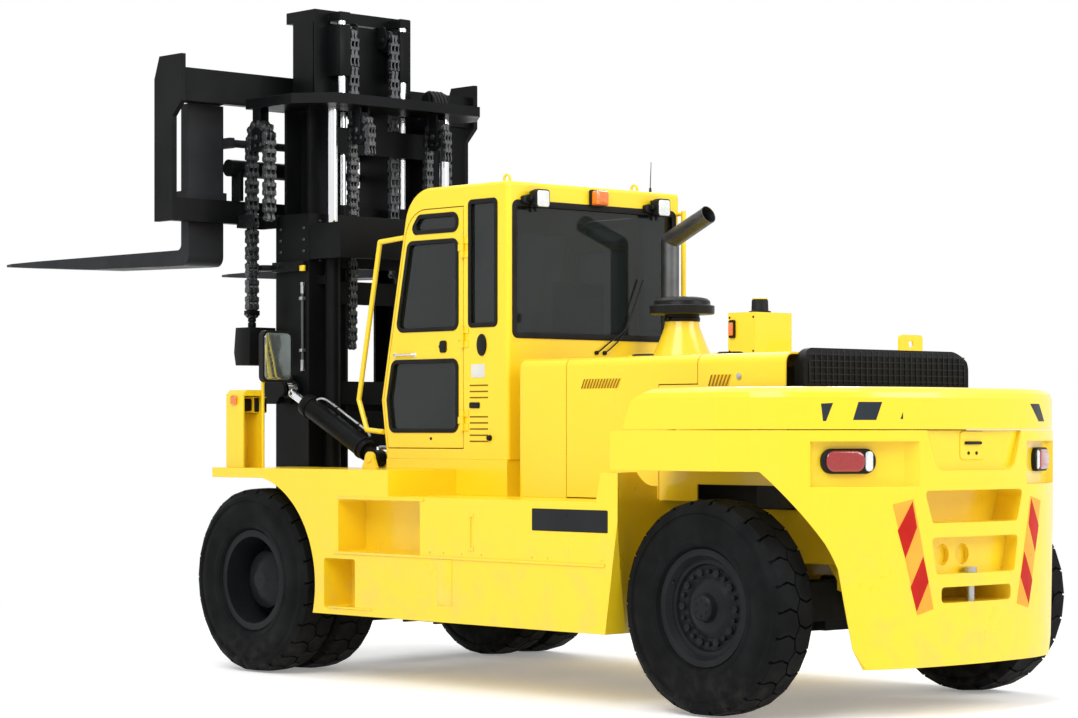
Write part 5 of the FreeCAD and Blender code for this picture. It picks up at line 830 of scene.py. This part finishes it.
for side, sign in SIDES:
    x, y = sign * CARRIAGE_CHAIN[0], CARRIAGE_CHAIN[1]
    chain_piece(f"carriage_chain_over_{side}", "mast_inner", x,
                arc(CROWN, 0.055, 150, 0, 7) + [(y, 4.16)], width=0.076, deep=0.040)
    run = chain_piece(f"carriage_chain_{side}", None, x, [(y, 2.72), (y, 4.18)], width=0.076, deep=0.040)
    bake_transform(run)
    chain_piece(f"stage_chain_{side}", "mast_middle", sign * STAGE_CHAIN_X,
                [(-0.975, 2.2)] + arc(STAGE_SHEAVE, 0.100, 180, 0, 7) + [(-0.775, 3.52)], width=0.060)

sheave_detail = Shape()
for sign in (1, -1):
    for x, (y, z) in ((sign * STAGE_CHAIN_X, STAGE_SHEAVE), (sign * SIDE_CHAIN[0], SIDE_SHEAVE)):
        for way in (1, -1):
            sheave_detail.bolt((x + way * 0.031, y, z), (way, 0, 0), 0.024)
            for c, s in circle(6, 0.058):
                face, head = ((x + way * out, y + c, z + s) for out in (0.024, 0.0302))
                sheave_detail.rod(face, head, 0.014, 12)
sheave_detail.make("sheave_pins", "chain", "mast_middle", edge=0.001)


def hose(name, body, path, radius, finish="hose", slot="black_plastic", ends=True, sign=1):
    """A hydraulic hose with a hexagon fitting and ferrule at each end."""
    Shape(sign).tube(path, radius, 10, 8).make(name, finish, body, slot)
    if ends:
        caps = Shape(sign)
        for a, b in ((path[0], path[1]), (path[-1], path[-2])):
            d = (Vector(b) - Vector(a)).normalized()
            caps.rod(Vector(a) - d * 0.004, Vector(a) + d * 0.055, radius * 1.28, 14)
            caps.rod(Vector(a) - d * 0.022, Vector(a) - d * 0.002, radius * 1.55, 6)
        caps.make(name + "_ends", "steel", body)


for k, x in enumerate((-0.60, -0.566, -0.532, -0.498)):
    hose(f"mast_hose_{k}", "mast_middle",
         [(x, -1.060, 3.870), (x, -1.056, 3.94), (x, -1.078, 4.01), (x, -1.13, 4.055), (x, -1.20, 4.02),
          (x, -1.235, 3.90), (x, -1.24, 3.60), (x, -1.245, 3.30)], 0.013, ends=False)
hose_guard = Shape()
hose_guard.lathe([(-0.075, 0.02), (-0.075, 0.072), (-0.066, 0.072), (-0.060, 0.058), (0.060, 0.058),
                  (0.066, 0.072), (0.075, 0.072), (0.075, 0.02)], (-0.549, *ROLLER), steps=32)
hose_guard.rod((-0.64, *ROLLER), (-0.46, *ROLLER), 0.021, 16)
for x in (-0.642, -0.468):
    hose_guard.prism(round_corners([(-1.19, 3.930), (-1.07, 3.930), (-1.09, 4.04), (-1.17, 4.04)], 0.03), "X",
                     x, x + 0.010)
hose_guard.make("hose_roller", "black", "mast_middle", edge=0.002)

for side, sign in SIDES:
    hose(f"mast_pipe_{side}", "mast_outer", [(0.672, -1.12, z) for z in (2.05, 2.2, 2.4, 2.62)],
         0.011, "chain", "pin_steel", sign=sign)
    clips = Shape(sign)
    for z in (2.16, 2.52):
        clips.box((0.660, -1.137, z), (0.690, -1.103, z + 0.022))
        clips.bolt((0.690, -1.12, z + 0.011), SIDEWAYS, 0.007)
    clips.make(f"pipe_clips_{side}", "steel", "mast_outer", edge=0.001)
    c, s = cos(TILT_CYLINDER), sin(TILT_CYLINDER)
    base, lead, out = Vector((0.75, -0.215, 1.430)), Vector((0, -c, s)), Vector((0, s, c))
    run = ((0.17, 0.078, -0.035), (0.22, 0.098, -0.035), (0.40, 0.100, -0.035), (0.66, 0.100, -0.035),
           (0.73, 0.094, -0.02), (0.755, 0.072, 0.0))
    pipe = [base + lead * t + out * o + Vector((x, 0, 0)) for t, o, x in run]
    hose(f"tilt_pipe_{side}", f"tilt_barrel_{side}", pipe, 0.009, "steel", "pin_steel", ends=False, sign=sign)
    tilt = Shape(sign)
    for t in (0.30, 0.56):
        spot = base + lead * t + out * 0.070
        aside = Vector((-0.035, 0, 0))
        tilt.rod(spot - lead * 0.012 + aside, spot + lead * 0.012 + out * 0.036 + aside, 0.014, 8)
    tilt.rod(base + lead * 0.775, base + lead * 0.835, 0.079, 28)
    for c, s in circle(8, 0.060):
        tilt.bolt(base + lead * 0.835 + out * c + Vector((sign * s, 0, 0)), lead, 0.008)
    tilt.rod(base + lead * 0.15, base + lead * 0.17, 0.077, 28)
    tilt.make(f"tilt_gland_{side}", "black", f"tilt_barrel_{side}", edge=0.002)
    hose(f"tilt_hose_{side}", "chassis", [(0.66, -0.08, 1.40), (0.665, -0.12, 1.47), (0.672, -0.19, 1.50),
                                          (0.676, -0.25, 1.50)], 0.011, sign=sign)

mast_bolts = Shape()
for mast_bolts.sign in (1, -1):
    for z in (0.36, 0.62, 0.88, 1.12):
        mast_bolts.bolt((MAST_SIDE, -1.36, z), SIDEWAYS, 0.011)
    for z in (3.02, 2.94, 2.86):
        for y in (-1.38, -1.12):
            mast_bolts.bolt((MAST_SIDE, y, z), SIDEWAYS, 0.010)
    for z in (1.55, 1.70):
        for x in (0.15, 0.30, 0.45):
            mast_bolts.bolt((x, -1.0648, z), (0, 1, 0), 0.012)
    for z in (2.80, 2.95, 3.07):
        mast_bolts.bolt((0.56, -1.0648, z), (0, 1, 0), 0.010)
mast_bolts.make("mast_bolts", "chain", "mast_outer")

# ---------------------------------------------------------------- cab windows


def offset(points, margin):
    """Moves each side of a convex or nearly convex outline outward by the margin."""
    area = sum(a[0] * b[1] - b[0] * a[1] for a, b in zip(points, points[1:] + points[:1]))
    way = 1 if area > 0 else -1
    moved = []
    count = len(points)
    for k in range(count):
        a, b, c = Vector(points[k - 1]), Vector(points[k]), Vector(points[(k + 1) % count])
        n1 = Vector(((b - a).y, -(b - a).x)).normalized() * way
        n2 = Vector(((c - b).y, -(c - b).x)).normalized() * way
        joined = (n1 + n2) / (1 + n1.dot(n2))
        moved.append(tuple(b + joined * margin))
    return moved


NOSE, BROW = (-0.148, 1.818), (0.098, 3.000)
FRAME = 0.076
RISE = (BROW[0] - NOSE[0]) / (BROW[1] - NOSE[1])
REAR = 0.637
CAB_SIDE = 0.7795


def front_at(z):
    """Where the cab's raked front stands at a height."""
    return NOSE[0] + RISE * (z - NOSE[1])


LOWER = [(NOSE[0] + 0.030 + FRAME, 1.606), (REAR, 1.606), (REAR, 2.075), (front_at(2.075) + FRAME, 2.075),
         (NOSE[0] + FRAME, NOSE[1])]
MAIN = [(front_at(2.265) + FRAME, 2.265), (REAR, 2.265), (REAR, 2.852), (front_at(2.852) + FRAME, 2.852)]
TOP = [(front_at(2.902) + FRAME, 2.902), (REAR, 2.902), (REAR, 3.022),
       (front_at(3.022) + FRAME + 0.070, 3.022)]
for side, sign in SIDES:
    door = Shape(sign)
    for outline in (LOWER, MAIN, TOP):
        door.seal(outline, "X", CAB_SIDE, 0.786, 0.022, 0.052)
    door.make(f"door_seals_{side}", "seal", f"cab_door_{side}", edge=0.002)
    (Shape(sign)
     .seal(rectangle(0.743, 2.280, 1.011, 3.090), "X", CAB_SIDE, 0.786, 0.024, 0.03)
     .make(f"quarter_seal_{side}", "seal", edge=0.002))
(Shape()
 .seal(rectangle(-0.735, 2.208, 0.735, 3.075), "Y", 1.1095, 1.116, 0.034, 0.04)
 .make("rear_window_seal", "seal", edge=0.002))

# ---------------------------------------------------------------- lamps

def flat_on(origin, along_way, out_way):
    """Turns (along, depth, height) into a place on an upright plane."""
    origin, u, n = Vector(origin), Vector(along_way).normalized(), Vector(out_way).normalized()
    return lambda a, d, z: origin + u * a + n * d + Vector((0, 0, z))


TAIL_ORIGIN, TAIL_IN, TAIL_OUT = (1.0150, 3.9347, 1.375), (-0.9158, 0.4016, 0), (0.4016, 0.9158, 0)
on_tail = flat_on(TAIL_ORIGIN, TAIL_IN, TAIL_OUT)
tail_base = Shape()
tail_base.pill(on_tail, (0.000, 0.000), (0.330, 0.140), 0.062, [(0, 0.001), (0, 0.024), (0.006, 0.030)])
for a, z in ((0.014, 0.070), (0.320, 0.070)):
    tail_base.screw(on_tail(a, 0.028, z), TAIL_OUT, 0.006)
tail_base.mirror().make("tail_lamp_bases", "plastic", replaces=("lamps",))
(Shape()
 .pill(on_tail, (0.024, 0.012), (0.258, 0.128), 0.050,
       [(0, 0.026), (0, 0.034), (0.006, 0.039), (0.018, 0.0415)])
 .mirror().make("tail_lamp_red", "red_lens"))
(Shape()
 .pill(on_tail, (0.263, 0.014), (0.308, 0.126), 0.020,
       [(0, 0.026), (0, 0.034), (0.005, 0.038), (0.012, 0.040)])
 .mirror().make("tail_lamp_white", "clear_lens"))

on_roof_left = flat_on((0.488, 1.110, 3.030), (1, 0, 0), (0, 1, 0))
work_base = Shape()
work_base.pill(on_roof_left, (0, 0), (0.120, 0.120), 0.022,
               [(0.016, 0.001), (0.006, 0.020), (0, 0.050), (0, 0.080), (0.004, 0.084)])
for k in range(4):
    work_base.box((0.500 + k * 0.026, 1.112, 3.040), (0.508 + k * 0.026, 1.136, 3.140))
work_base.rod((0.548, 1.118, 3.035), (0.548, 1.118, 3.010), 0.010, 12)
work_face = Shape()
work_face.pill(on_roof_left, (0.009, 0.009), (0.111, 0.111), 0.016, [(0, 0.080), (0, 0.085), (0.008, 0.088)])
work_base.mirror().make("work_lamp_bases", "plastic", replaces=("lamps",))
brackets = Shape()
for x in (0.609, -0.487):
    brackets.prism(round_corners([(x, 3.052), (x + 0.060, 3.062), (x + 0.060, 3.104), (x, 3.118)], 0.010),
                   "Y", 1.1105, 1.142)
    brackets.rod((x - 0.002, 1.155, 3.090), (x + 0.022, 1.155, 3.090), 0.017, 18)
brackets.make("work_lamp_brackets", "cap", edge=0.002)
work_face.mirror().make("work_lamp_faces", "clear_lens")

on_roof = flat_on((-0.065, 1.110, 3.070), (1, 0, 0), (0, 1, 0))
(Shape()
 .pill(on_roof, (0, 0), (0.130, 0.110), 0.014, [(0, 0.001), (0, 0.018), (0.003, 0.021)])
 .make("roof_marker_base", "plastic", replaces=("lamps",)))
(Shape()
 .pill(on_roof, (0.008, 0.008), (0.122, 0.102), 0.012,
       [(0, 0.019), (0, 0.055), (0.006, 0.064), (0.020, 0.068)])
 .make("roof_marker", "amber_lens"))

on_post = flat_on((1.017, -1.072, 1.732), (1, 0, 0), (0, -1, 0))
post_lamp = Shape()
post_lamp.pill(on_post, (0, 0), (0.116, 0.116), 0.026,
               [(0.014, -0.003), (0.004, 0.016), (0, 0.040), (0, 0.108), (0.004, 0.116)])
for k in range(5):
    post_lamp.box((1.026 + k * 0.023, -1.090, 1.742), (1.032 + k * 0.023, -1.064, 1.838))
post_lamp.mirror().make("post_lamp_bases", "plastic")
(Shape()
 .pill(on_post, (0.009, 0.009), (0.107, 0.107), 0.018, [(0, 0.113), (0, 0.118), (0.008, 0.121)])
 .mirror().make("post_lamp_faces", "clear_lens"))
on_post_side = flat_on((1.2545, -1.150, 1.790), (0, 1, 0), (1, 0, 0))
(Shape()
 .pill(on_post_side, (0, 0), (0.062, 0.062), 0.014, [(0, 0), (0, 0.014), (0.005, 0.020)])
 .mirror().make("post_markers", "amber_lens"))

# ---------------------------------------------------------------- tail

BAND_STRIPES = [
    [(1.046, 1.764), (0.990, 1.768), (1.022, 1.668), (1.036, 1.668)],
    [(0.864, 1.774), (0.732, 1.774), (0.767, 1.674), (0.892, 1.674)],
    [(0.600, 1.719), (0.600, 1.680), (0.617, 1.680)],
    [(-0.535, 1.772), (-0.660, 1.772), (-0.749, 1.669), (-0.652, 1.669)],
]
for k, outline in enumerate(BAND_STRIPES):
    decal(f"band_stripe_{k}", "rear_hood", outline, "dark_stripe", "rear_hood", "black_paint")

STRIP = [(0.672, 1.205), (0.533, 1.234), (0.379, 0.615), (0.505, 0.585)]
UPPER_RED = [(0.540, 1.220), (0.508, 1.075), (0.590, 0.906), (0.640, 1.060)]
LOWER_RED = [(0.460, 0.912), (0.419, 0.768), (0.510, 0.606), (0.553, 0.744)]
for side, sign in SIDES:
    for part, outline, finish, thick in (("base", STRIP, "pale_stripe", 0.0010),
                                         ("upper", UPPER_RED, "red_stripe", 0.0022),
                                         ("lower", LOWER_RED, "red_stripe", 0.0022)):
        decal(f"chevron_{part}_{side}", "counterweight", [(sign * x, z) for x, z in outline], finish,
              "chassis", "yellow_paint" if finish == "pale_stripe" else "lamp_lens", thick)

latch_y = surface("counterweight", (0, 5, 1.53), (0, -1, 0))[0].y
on_latch = flat_on((-0.110, latch_y, 1.448), (1, 0, 0), (0, 1, 0))
(Shape()
 .pill(on_latch, (0, 0), (0.220, 0.165), 0.030, [(0, -0.002), (0, 0.003), (0.004, 0.006)])
 .make("tail_latch_plate", "yellow"))
latch = Shape()
latch.rod((-0.070, latch_y + 0.013, 1.545), (0.070, latch_y + 0.013, 1.545), 0.009, 16)
for x in (-0.036, 0.036):
    latch.screw((x, latch_y + 0.006, 1.487), (0, 1, 0), 0.010)
latch.make("tail_latch", "plastic", edge=0.0015)

# ---------------------------------------------------------------- hood

CLEANER = (0.100, 1.986, 0.0)
(Shape()
 .lathe([(2.0655, 0.02), (2.0655, 0.182), (2.078, 0.186), (2.092, 0.180), (2.180, 0.142), (2.260, 0.112),
         (2.298, 0.106), (2.298, 0.02)], CLEANER, axis="Z")
 .make("cleaner_cone", "yellow", replaces=("air_precleaner",)))
(Shape()
 .lathe([(2.296, 0.02), (2.296, 0.112), (2.318, 0.114), (2.322, 0.109), (2.338, 0.109), (2.341, 0.196),
         (2.346, 0.203), (2.392, 0.204), (2.397, 0.198), (2.399, 0.180), (2.404, 0.178), (2.424, 0.176),
         (2.440, 0.158), (2.450, 0.110), (2.4545, 0.02)], CLEANER, axis="Z")
 .rod((0.214, 1.986, 2.310), (0.226, 1.986, 2.310), 0.010, 10)
 .make("cleaner_cap", "cap", replaces=("air_precleaner",)))

case_trim = Shape()
case_trim.lathe([(2.329, 0.02), (2.329, 0.066), (2.340, 0.068), (2.345, 0.052), (2.405, 0.0500),
                 (2.416, 0.044), (2.4195, 0.02)], (0.100, 2.645, 0.0), axis="Z", steps=40)
case_trim.prism(rectangle(2.552, 2.175, 2.598, 2.285, 0.010), "X", 0.2645, 0.280)
for y in (2.548, 2.742):
    for z in (2.095, 2.300):
        case_trim.screw((0.2648, y, z), SIDEWAYS, 0.007)
case_trim.make("case_lamp_body", "plastic", edge=0.001)
(Shape()
 .prism(rectangle(2.558, 2.190, 2.592, 2.270, 0.008), "X", 0.279, 0.290)
 .make("case_lamp_lens", "amber_lens", edge=0.003))


def louver(name, body, sign, bottom, top, low, high, count):
    """A row of slanted slots, each under a raised lip, on a side wall of the hood. The slots are thin sheets
    in painted shade.
    """
    step_low, step_top = (bottom[1] - bottom[0]) / count, (top[1] - top[0]) / count
    wall = 0.8200
    lips = Shape(sign)
    dark = Shape(sign)
    for k in range(count):
        a, b = bottom[0] + step_low * k, top[0] + step_top * k
        slot_outline = [(a, low), (a + step_low * 0.62, low), (b + step_top * 0.62, high), (b, high)]
        lip = [(a + step_low * 0.60, low - 0.002), (a + step_low * 0.80, low - 0.002),
               (b + step_top * 0.80, high + 0.002), (b + step_top * 0.60, high + 0.002)]
        # painted shade: each slot is a thin sheet in the colour of the shade inside it, not an opening
        dark.prism(slot_outline, "X", wall - 0.002, wall + 0.0008)
        lips.prism(lip, "X", wall - 0.001, wall + 0.0038)
    dark.make(name + "_slots", "groove", body)
    lips.make(name + "_lips", "yellow", body, edge=0.001)


for side, sign in SIDES:
    louver(f"door_louver_{side}", f"engine_door_{side}", sign, (1.823, 2.146), (1.850, 2.181), 1.872, 1.930,
           13)
    louver(f"hood_louver_{side}", "chassis", sign, (2.895, 3.060), (2.920, 3.095), 1.875, 1.941, 6)
    Shape(sign).hood_pad(2.240, 0.090).make(f"door_pad_{side}", "cap", f"engine_door_{side}")
    Shape(sign).hood_pad(2.960, 0.100).make(f"hood_pad_{side}", "cap")
    (Shape(sign)
     .rod((0.8195, 3.143, 1.928), (0.826, 3.143, 1.928), 0.020, 24)
     .rod((0.826, 3.143, 1.928), (0.830, 3.143, 1.928), 0.011, 20)
     .make(f"hood_lock_{side}", "steel", edge=0.001))

grille_mesh = Shape()
for k in range(-14, 15):
    x = k * 0.050
    top = 2.078 if abs(x) < 0.62 else 2.078 - (abs(x) - 0.62) * 0.9
    grille_mesh.box((x - 0.004, 3.5735, 1.885), (x + 0.004, 3.581, top))
for k in range(5):
    z = 1.900 + k * 0.038
    grille_mesh.box((-0.705, 3.572, z - 0.003), (0.705, 3.579, z + 0.003))
grille_mesh.make("grille_bars", "cap", slot="black_paint", edge=0.001)
tab = Shape()
tab_out = round_corners(rectangle(-0.660, 2.064, -0.440, 2.196), 0.024, 5)
tab_hole = round_corners(rectangle(-0.572, 2.118, -0.528, 2.162), 0.0215, 5)
tab.band(tab_out, tab_hole, "Y", 3.279, 3.291)
tab.make("hood_lifting_tab", "yellow")

# ---------------------------------------------------------------- cab

for side, sign in SIDES:
    door = f"cab_door_{side}"
    grip = Shape(sign)
    grip.tube([(CAB_SIDE, 0.010, 2.112), (0.800, 0.022, 2.112), (0.802, 0.110, 2.112),
               (0.800, 0.198, 2.112), (CAB_SIDE, 0.210, 2.112)], 0.0085, 12, 5)
    for y in (0.010, 0.210):
        grip.rod((CAB_SIDE, y, 2.112), (0.785, y, 2.112), 0.016, 18)
    grip.make(f"door_handle_{side}", "chrome", door)
    on_door = flat_on((0.7797, 0.462, 2.120), (0, 1, 0), SIDEWAYS)
    (Shape(sign)
     .pill(on_door, (0, 0), (0.064, 0.078), 0.018, [(0, 0), (0, 0.009), (0.004, 0.012)])
     .rod((0.791, 0.478, 2.160), (0.799, 0.478, 2.160), 0.013, 20)
     .prism(round_corners([(0.474, 2.151), (0.520, 2.146), (0.520, 2.162), (0.474, 2.169)], 0.005), "X",
            0.790, 0.798)
     .screw((0.780, 0.370, 1.563), SIDEWAYS, 0.010)
     .make(f"door_catch_{side}", "plastic", door, edge=0.001))
    (Shape(sign)
     .prism([(0.869 + 0.044 * c, 2.162 + 0.070 * s) for c, s in circle(28)], "X", CAB_SIDE, 0.790)
     .prism(rectangle(0.752, 1.758, 0.848, 1.796, 0.010), "X", CAB_SIDE, 0.788)
     .rod((CAB_SIDE, 0.945, 1.568), (0.800, 0.945, 1.568), 0.020, 22, 0.016)
     .make(f"cab_caps_{side}", "cap", edge=0.0015))
    (Shape(sign)
     .prism(rectangle(0.765, 1.954, 0.895, 2.040, 0.006), "X", CAB_SIDE, 0.7812)
     .make(f"cab_blank_plate_{side}", "blank"))
    # painted shade: thin strips in the colour of the shade in the cab wall's louver grooves
    wall_groove_shade = Shape(sign)
    for z in (1.904, 1.865, 1.826, 1.703, 1.664, 1.625, 1.585, 1.546):
        wall_groove_shade.prism(rectangle(0.750, z - 0.005, 0.926, z + 0.005), "X", 0.7792, 0.7806)
    wall_groove_shade.make(f"cab_louver_shade_{side}", "groove")

wiper = Shape()
for x in (0.001, -0.072):
    wiper.rod((x, 1.109, 2.121), (x, 1.124, 2.121), 0.014, 18)
wiper.tube([(0.001, 1.124, 2.121), (-0.120, 1.130, 2.200), (-0.262, 1.128, 2.290), (-0.345, 1.124, 2.450)],
           0.0055, 8, 5)
wiper.tube([(-0.072, 1.124, 2.121), (-0.180, 1.127, 2.195), (-0.285, 1.125, 2.290)], 0.0045, 8, 5)
wiper.tube([(-0.250, 1.1225, 2.270), (-0.345, 1.1225, 2.450), (-0.420, 1.1225, 2.612)], 0.0060, 8, 5)
wiper.make("rear_wiper", "cap")

roof_trim = Shape()
for x in (0.720, -0.420):
    roof_trim.lathe([(-0.007, 0.020), (-0.007, 0.034), (0.007, 0.034), (0.007, 0.020)], (x, 1.040, 3.214),
                    steps=32)
roof_trim.make("roof_lifting_eyes", "yellow", edge=0.002)
(Shape()
 .rod((-0.550, 1.060, 3.185), (-0.550, 1.060, 3.230), 0.011, 16, 0.007)
 .rod((-0.550, 1.060, 3.230), (-0.550, 1.068, 3.400), 0.0032, 8, 0.0022)
 .make("roof_antenna", "cap"))

for side, start_x in (("left", 0.975), ("right", -1.225)):
    on_mirror = flat_on((start_x, -0.8455, 1.940), (1, 0, 0), (0, 1, 0))
    (Shape()
     .pill(on_mirror, (0.016, 0.018), (0.234, 0.332), 0.034, [(0, 0), (0, 0.002), (0.004, 0.003)])
     .make(f"mirror_glass_{side}", "mirror"))

# ---------------------------------------------------------------- cab inside

FOAM_CAP = 0.016


def stuffed(name, node, channels, along_axis, inset=0.012):
    """A foam pad under sewn cloth: swollen by a cloth simulation, then drawn in at its sewn channels."""
    near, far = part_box(node)
    near, far = near + Vector((inset,) * 3), far - Vector((inset,) * 3)
    bm = bmesh.new()
    bmesh.ops.create_cube(bm, size=1.0)
    for v in bm.verts:
        v.co = Vector((near[i] + (v.co[i] + 0.5) * (far[i] - near[i]) for i in range(3)))
    bmesh.ops.bevel(bm, geom=bm.edges[:], offset=0.026, segments=4, profile=0.5, affect="EDGES")
    mesh = bpy.data.meshes.new(name)
    bm.to_mesh(mesh)
    bm.free()
    obj = add_object(name, mesh)
    remesh = obj.modifiers.new("remesh", "REMESH")
    remesh.mode = "VOXEL"
    remesh.voxel_size = 0.008
    apply_modifiers(obj)
    start = [v.co.copy() for v in obj.data.vertices]
    cloth = obj.modifiers.new("cloth", "CLOTH")
    cloth.settings.use_pressure = True
    cloth.settings.uniform_pressure_force = 4
    cloth.settings.effector_weights.gravity = 0
    scene = bpy.context.scene
    cloth.point_cache.frame_start, cloth.point_cache.frame_end = 1, 20
    for frame_number in range(1, 21):
        scene.frame_set(frame_number)
    apply_modifiers(obj)
    scene.frame_set(1)
    for v, was in zip(obj.data.vertices, start):
        move = v.co - was
        if move.length > FOAM_CAP:
            v.co = was + move.normalized() * FOAM_CAP
    middle = (near + far) / 2
    thin = min(range(3), key=lambda i: far[i] - near[i])
    for v in obj.data.vertices:
        away = abs(v.co[thin] - middle[thin]) / ((far[thin] - near[thin]) / 2)
        if away < 0.6:
            continue
        for channel in channels:
            gap = abs(v.co[along_axis] - channel)
            if gap < 0.016:
                pull = 0.009 * (0.5 + 0.5 * cos(pi * gap / 0.016))
                v.co[thin] -= copysign(pull, v.co[thin] - middle[thin])
    smooth = obj.modifiers.new("smooth", "SUBSURF")
    smooth.levels = 1
    apply_modifiers(obj)
    low_corner, high_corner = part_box(node)
    for v in obj.data.vertices:
        for i in range(3):
            v.co[i] = min(max(v.co[i], low_corner[i] - 0.004), high_corner[i] + 0.004)
    obj.data.materials.clear()
    obj.data.materials.append(MAT["cloth"])
    for polygon in obj.data.polygons:
        polygon.use_smooth = True
    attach(obj, "chassis")
    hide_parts(node)


stuffed("seat_cushion_pad", "seat_cushion", (-0.130, 0.130), 0)
stuffed("seat_back_pad", "seat_back", (2.06, 2.20, 2.34, 2.48), 2)

controls = Shape()
for k, x in enumerate((0.340, 0.385, 0.430)):
    controls.rod((x, 0.520, 2.079), (x, 0.505, 2.175), 0.005, 10)
    controls.lathe([(-0.020, 0.003), (-0.018, 0.012), (0.000, 0.016), (0.016, 0.013), (0.022, 0.003)],
                   (x, 0.503, 2.190), axis="Z", steps=20)
controls.rod((0.340, 0.680, 2.079), (0.340, 0.680, 2.115), 0.020, 20, 0.014)
controls.box((0.300, 0.740, 2.079), (0.470, 0.860, 2.087))
controls.make("cab_levers", "cap", edge=0.001)
(Shape()
 .prism(round_corners([(0.120, 1.900), (0.215, 1.900), (0.215, 2.075), (0.150, 2.075)], 0.018), "X", -0.150,
        0.150)
 .make("cab_display", "plastic", edge=0.004))
mat_piece = Shape()
for k in range(14):
    mat_piece.box((-0.330, 0.045 + k * 0.024, 1.4745), (0.330, 0.057 + k * 0.024, 1.480))
mat_piece.make("cab_mat_ribs", "seal", edge=0.001)

# ---------------------------------------------------------------- side boxes and steps

SIDE = 1.350


def face_bar(out, near, far):
    """The corners of a bar on the side box's face from near to far, standing out by a length."""
    return (SIDE, *near), (SIDE + out, *far)


for side, sign in SIDES:
    (Shape(sign)
     .box(*face_bar(0.0085, (0.104, 1.176), (0.965, 1.190)))
     .box(*face_bar(0.0085, (0.073, 0.822), (2.577, 0.838)))
     .box(*face_bar(0.0070, (0.020, 0.470), (0.458, 0.482)))
     .box(*face_bar(0.0030, (1.089, 0.534), (1.230, 0.822)))
     .make(f"side_ledges_{side}", "yellow", edge=0.002))
    (Shape(sign)
     .tube([(1.3495, 1.406, 0.895), (1.356, 1.406, 0.905), (1.357, 1.406, 0.990),
            (1.356, 1.406, 1.085), (1.3495, 1.406, 1.095)], 0.0030, 10, 5)
     .box(*face_bar(0.0040, (1.385, 0.879), (1.430, 0.905)))
     .box(*face_bar(0.0040, (1.385, 1.085), (1.430, 1.111)))
     .make(f"side_handhold_{side}", "yellow", edge=0.001))
    small = Shape(sign)
    for y in (0.450, 0.540, 0.830, 1.020, 1.150, 1.320, 1.500, 1.954, 2.090, 2.550):
        small.bolt((SIDE, y, 0.860), SIDEWAYS, 0.0055)
    small.make(f"side_rivets_{side}", "yellow")
    (Shape(sign)
     .prism(rectangle(1.954, 1.020, 2.600, 1.152, 0.008), "X", SIDE - 0.0002, SIDE + 0.0016)
     .make(f"frame_blank_plate_{side}", "plate"))
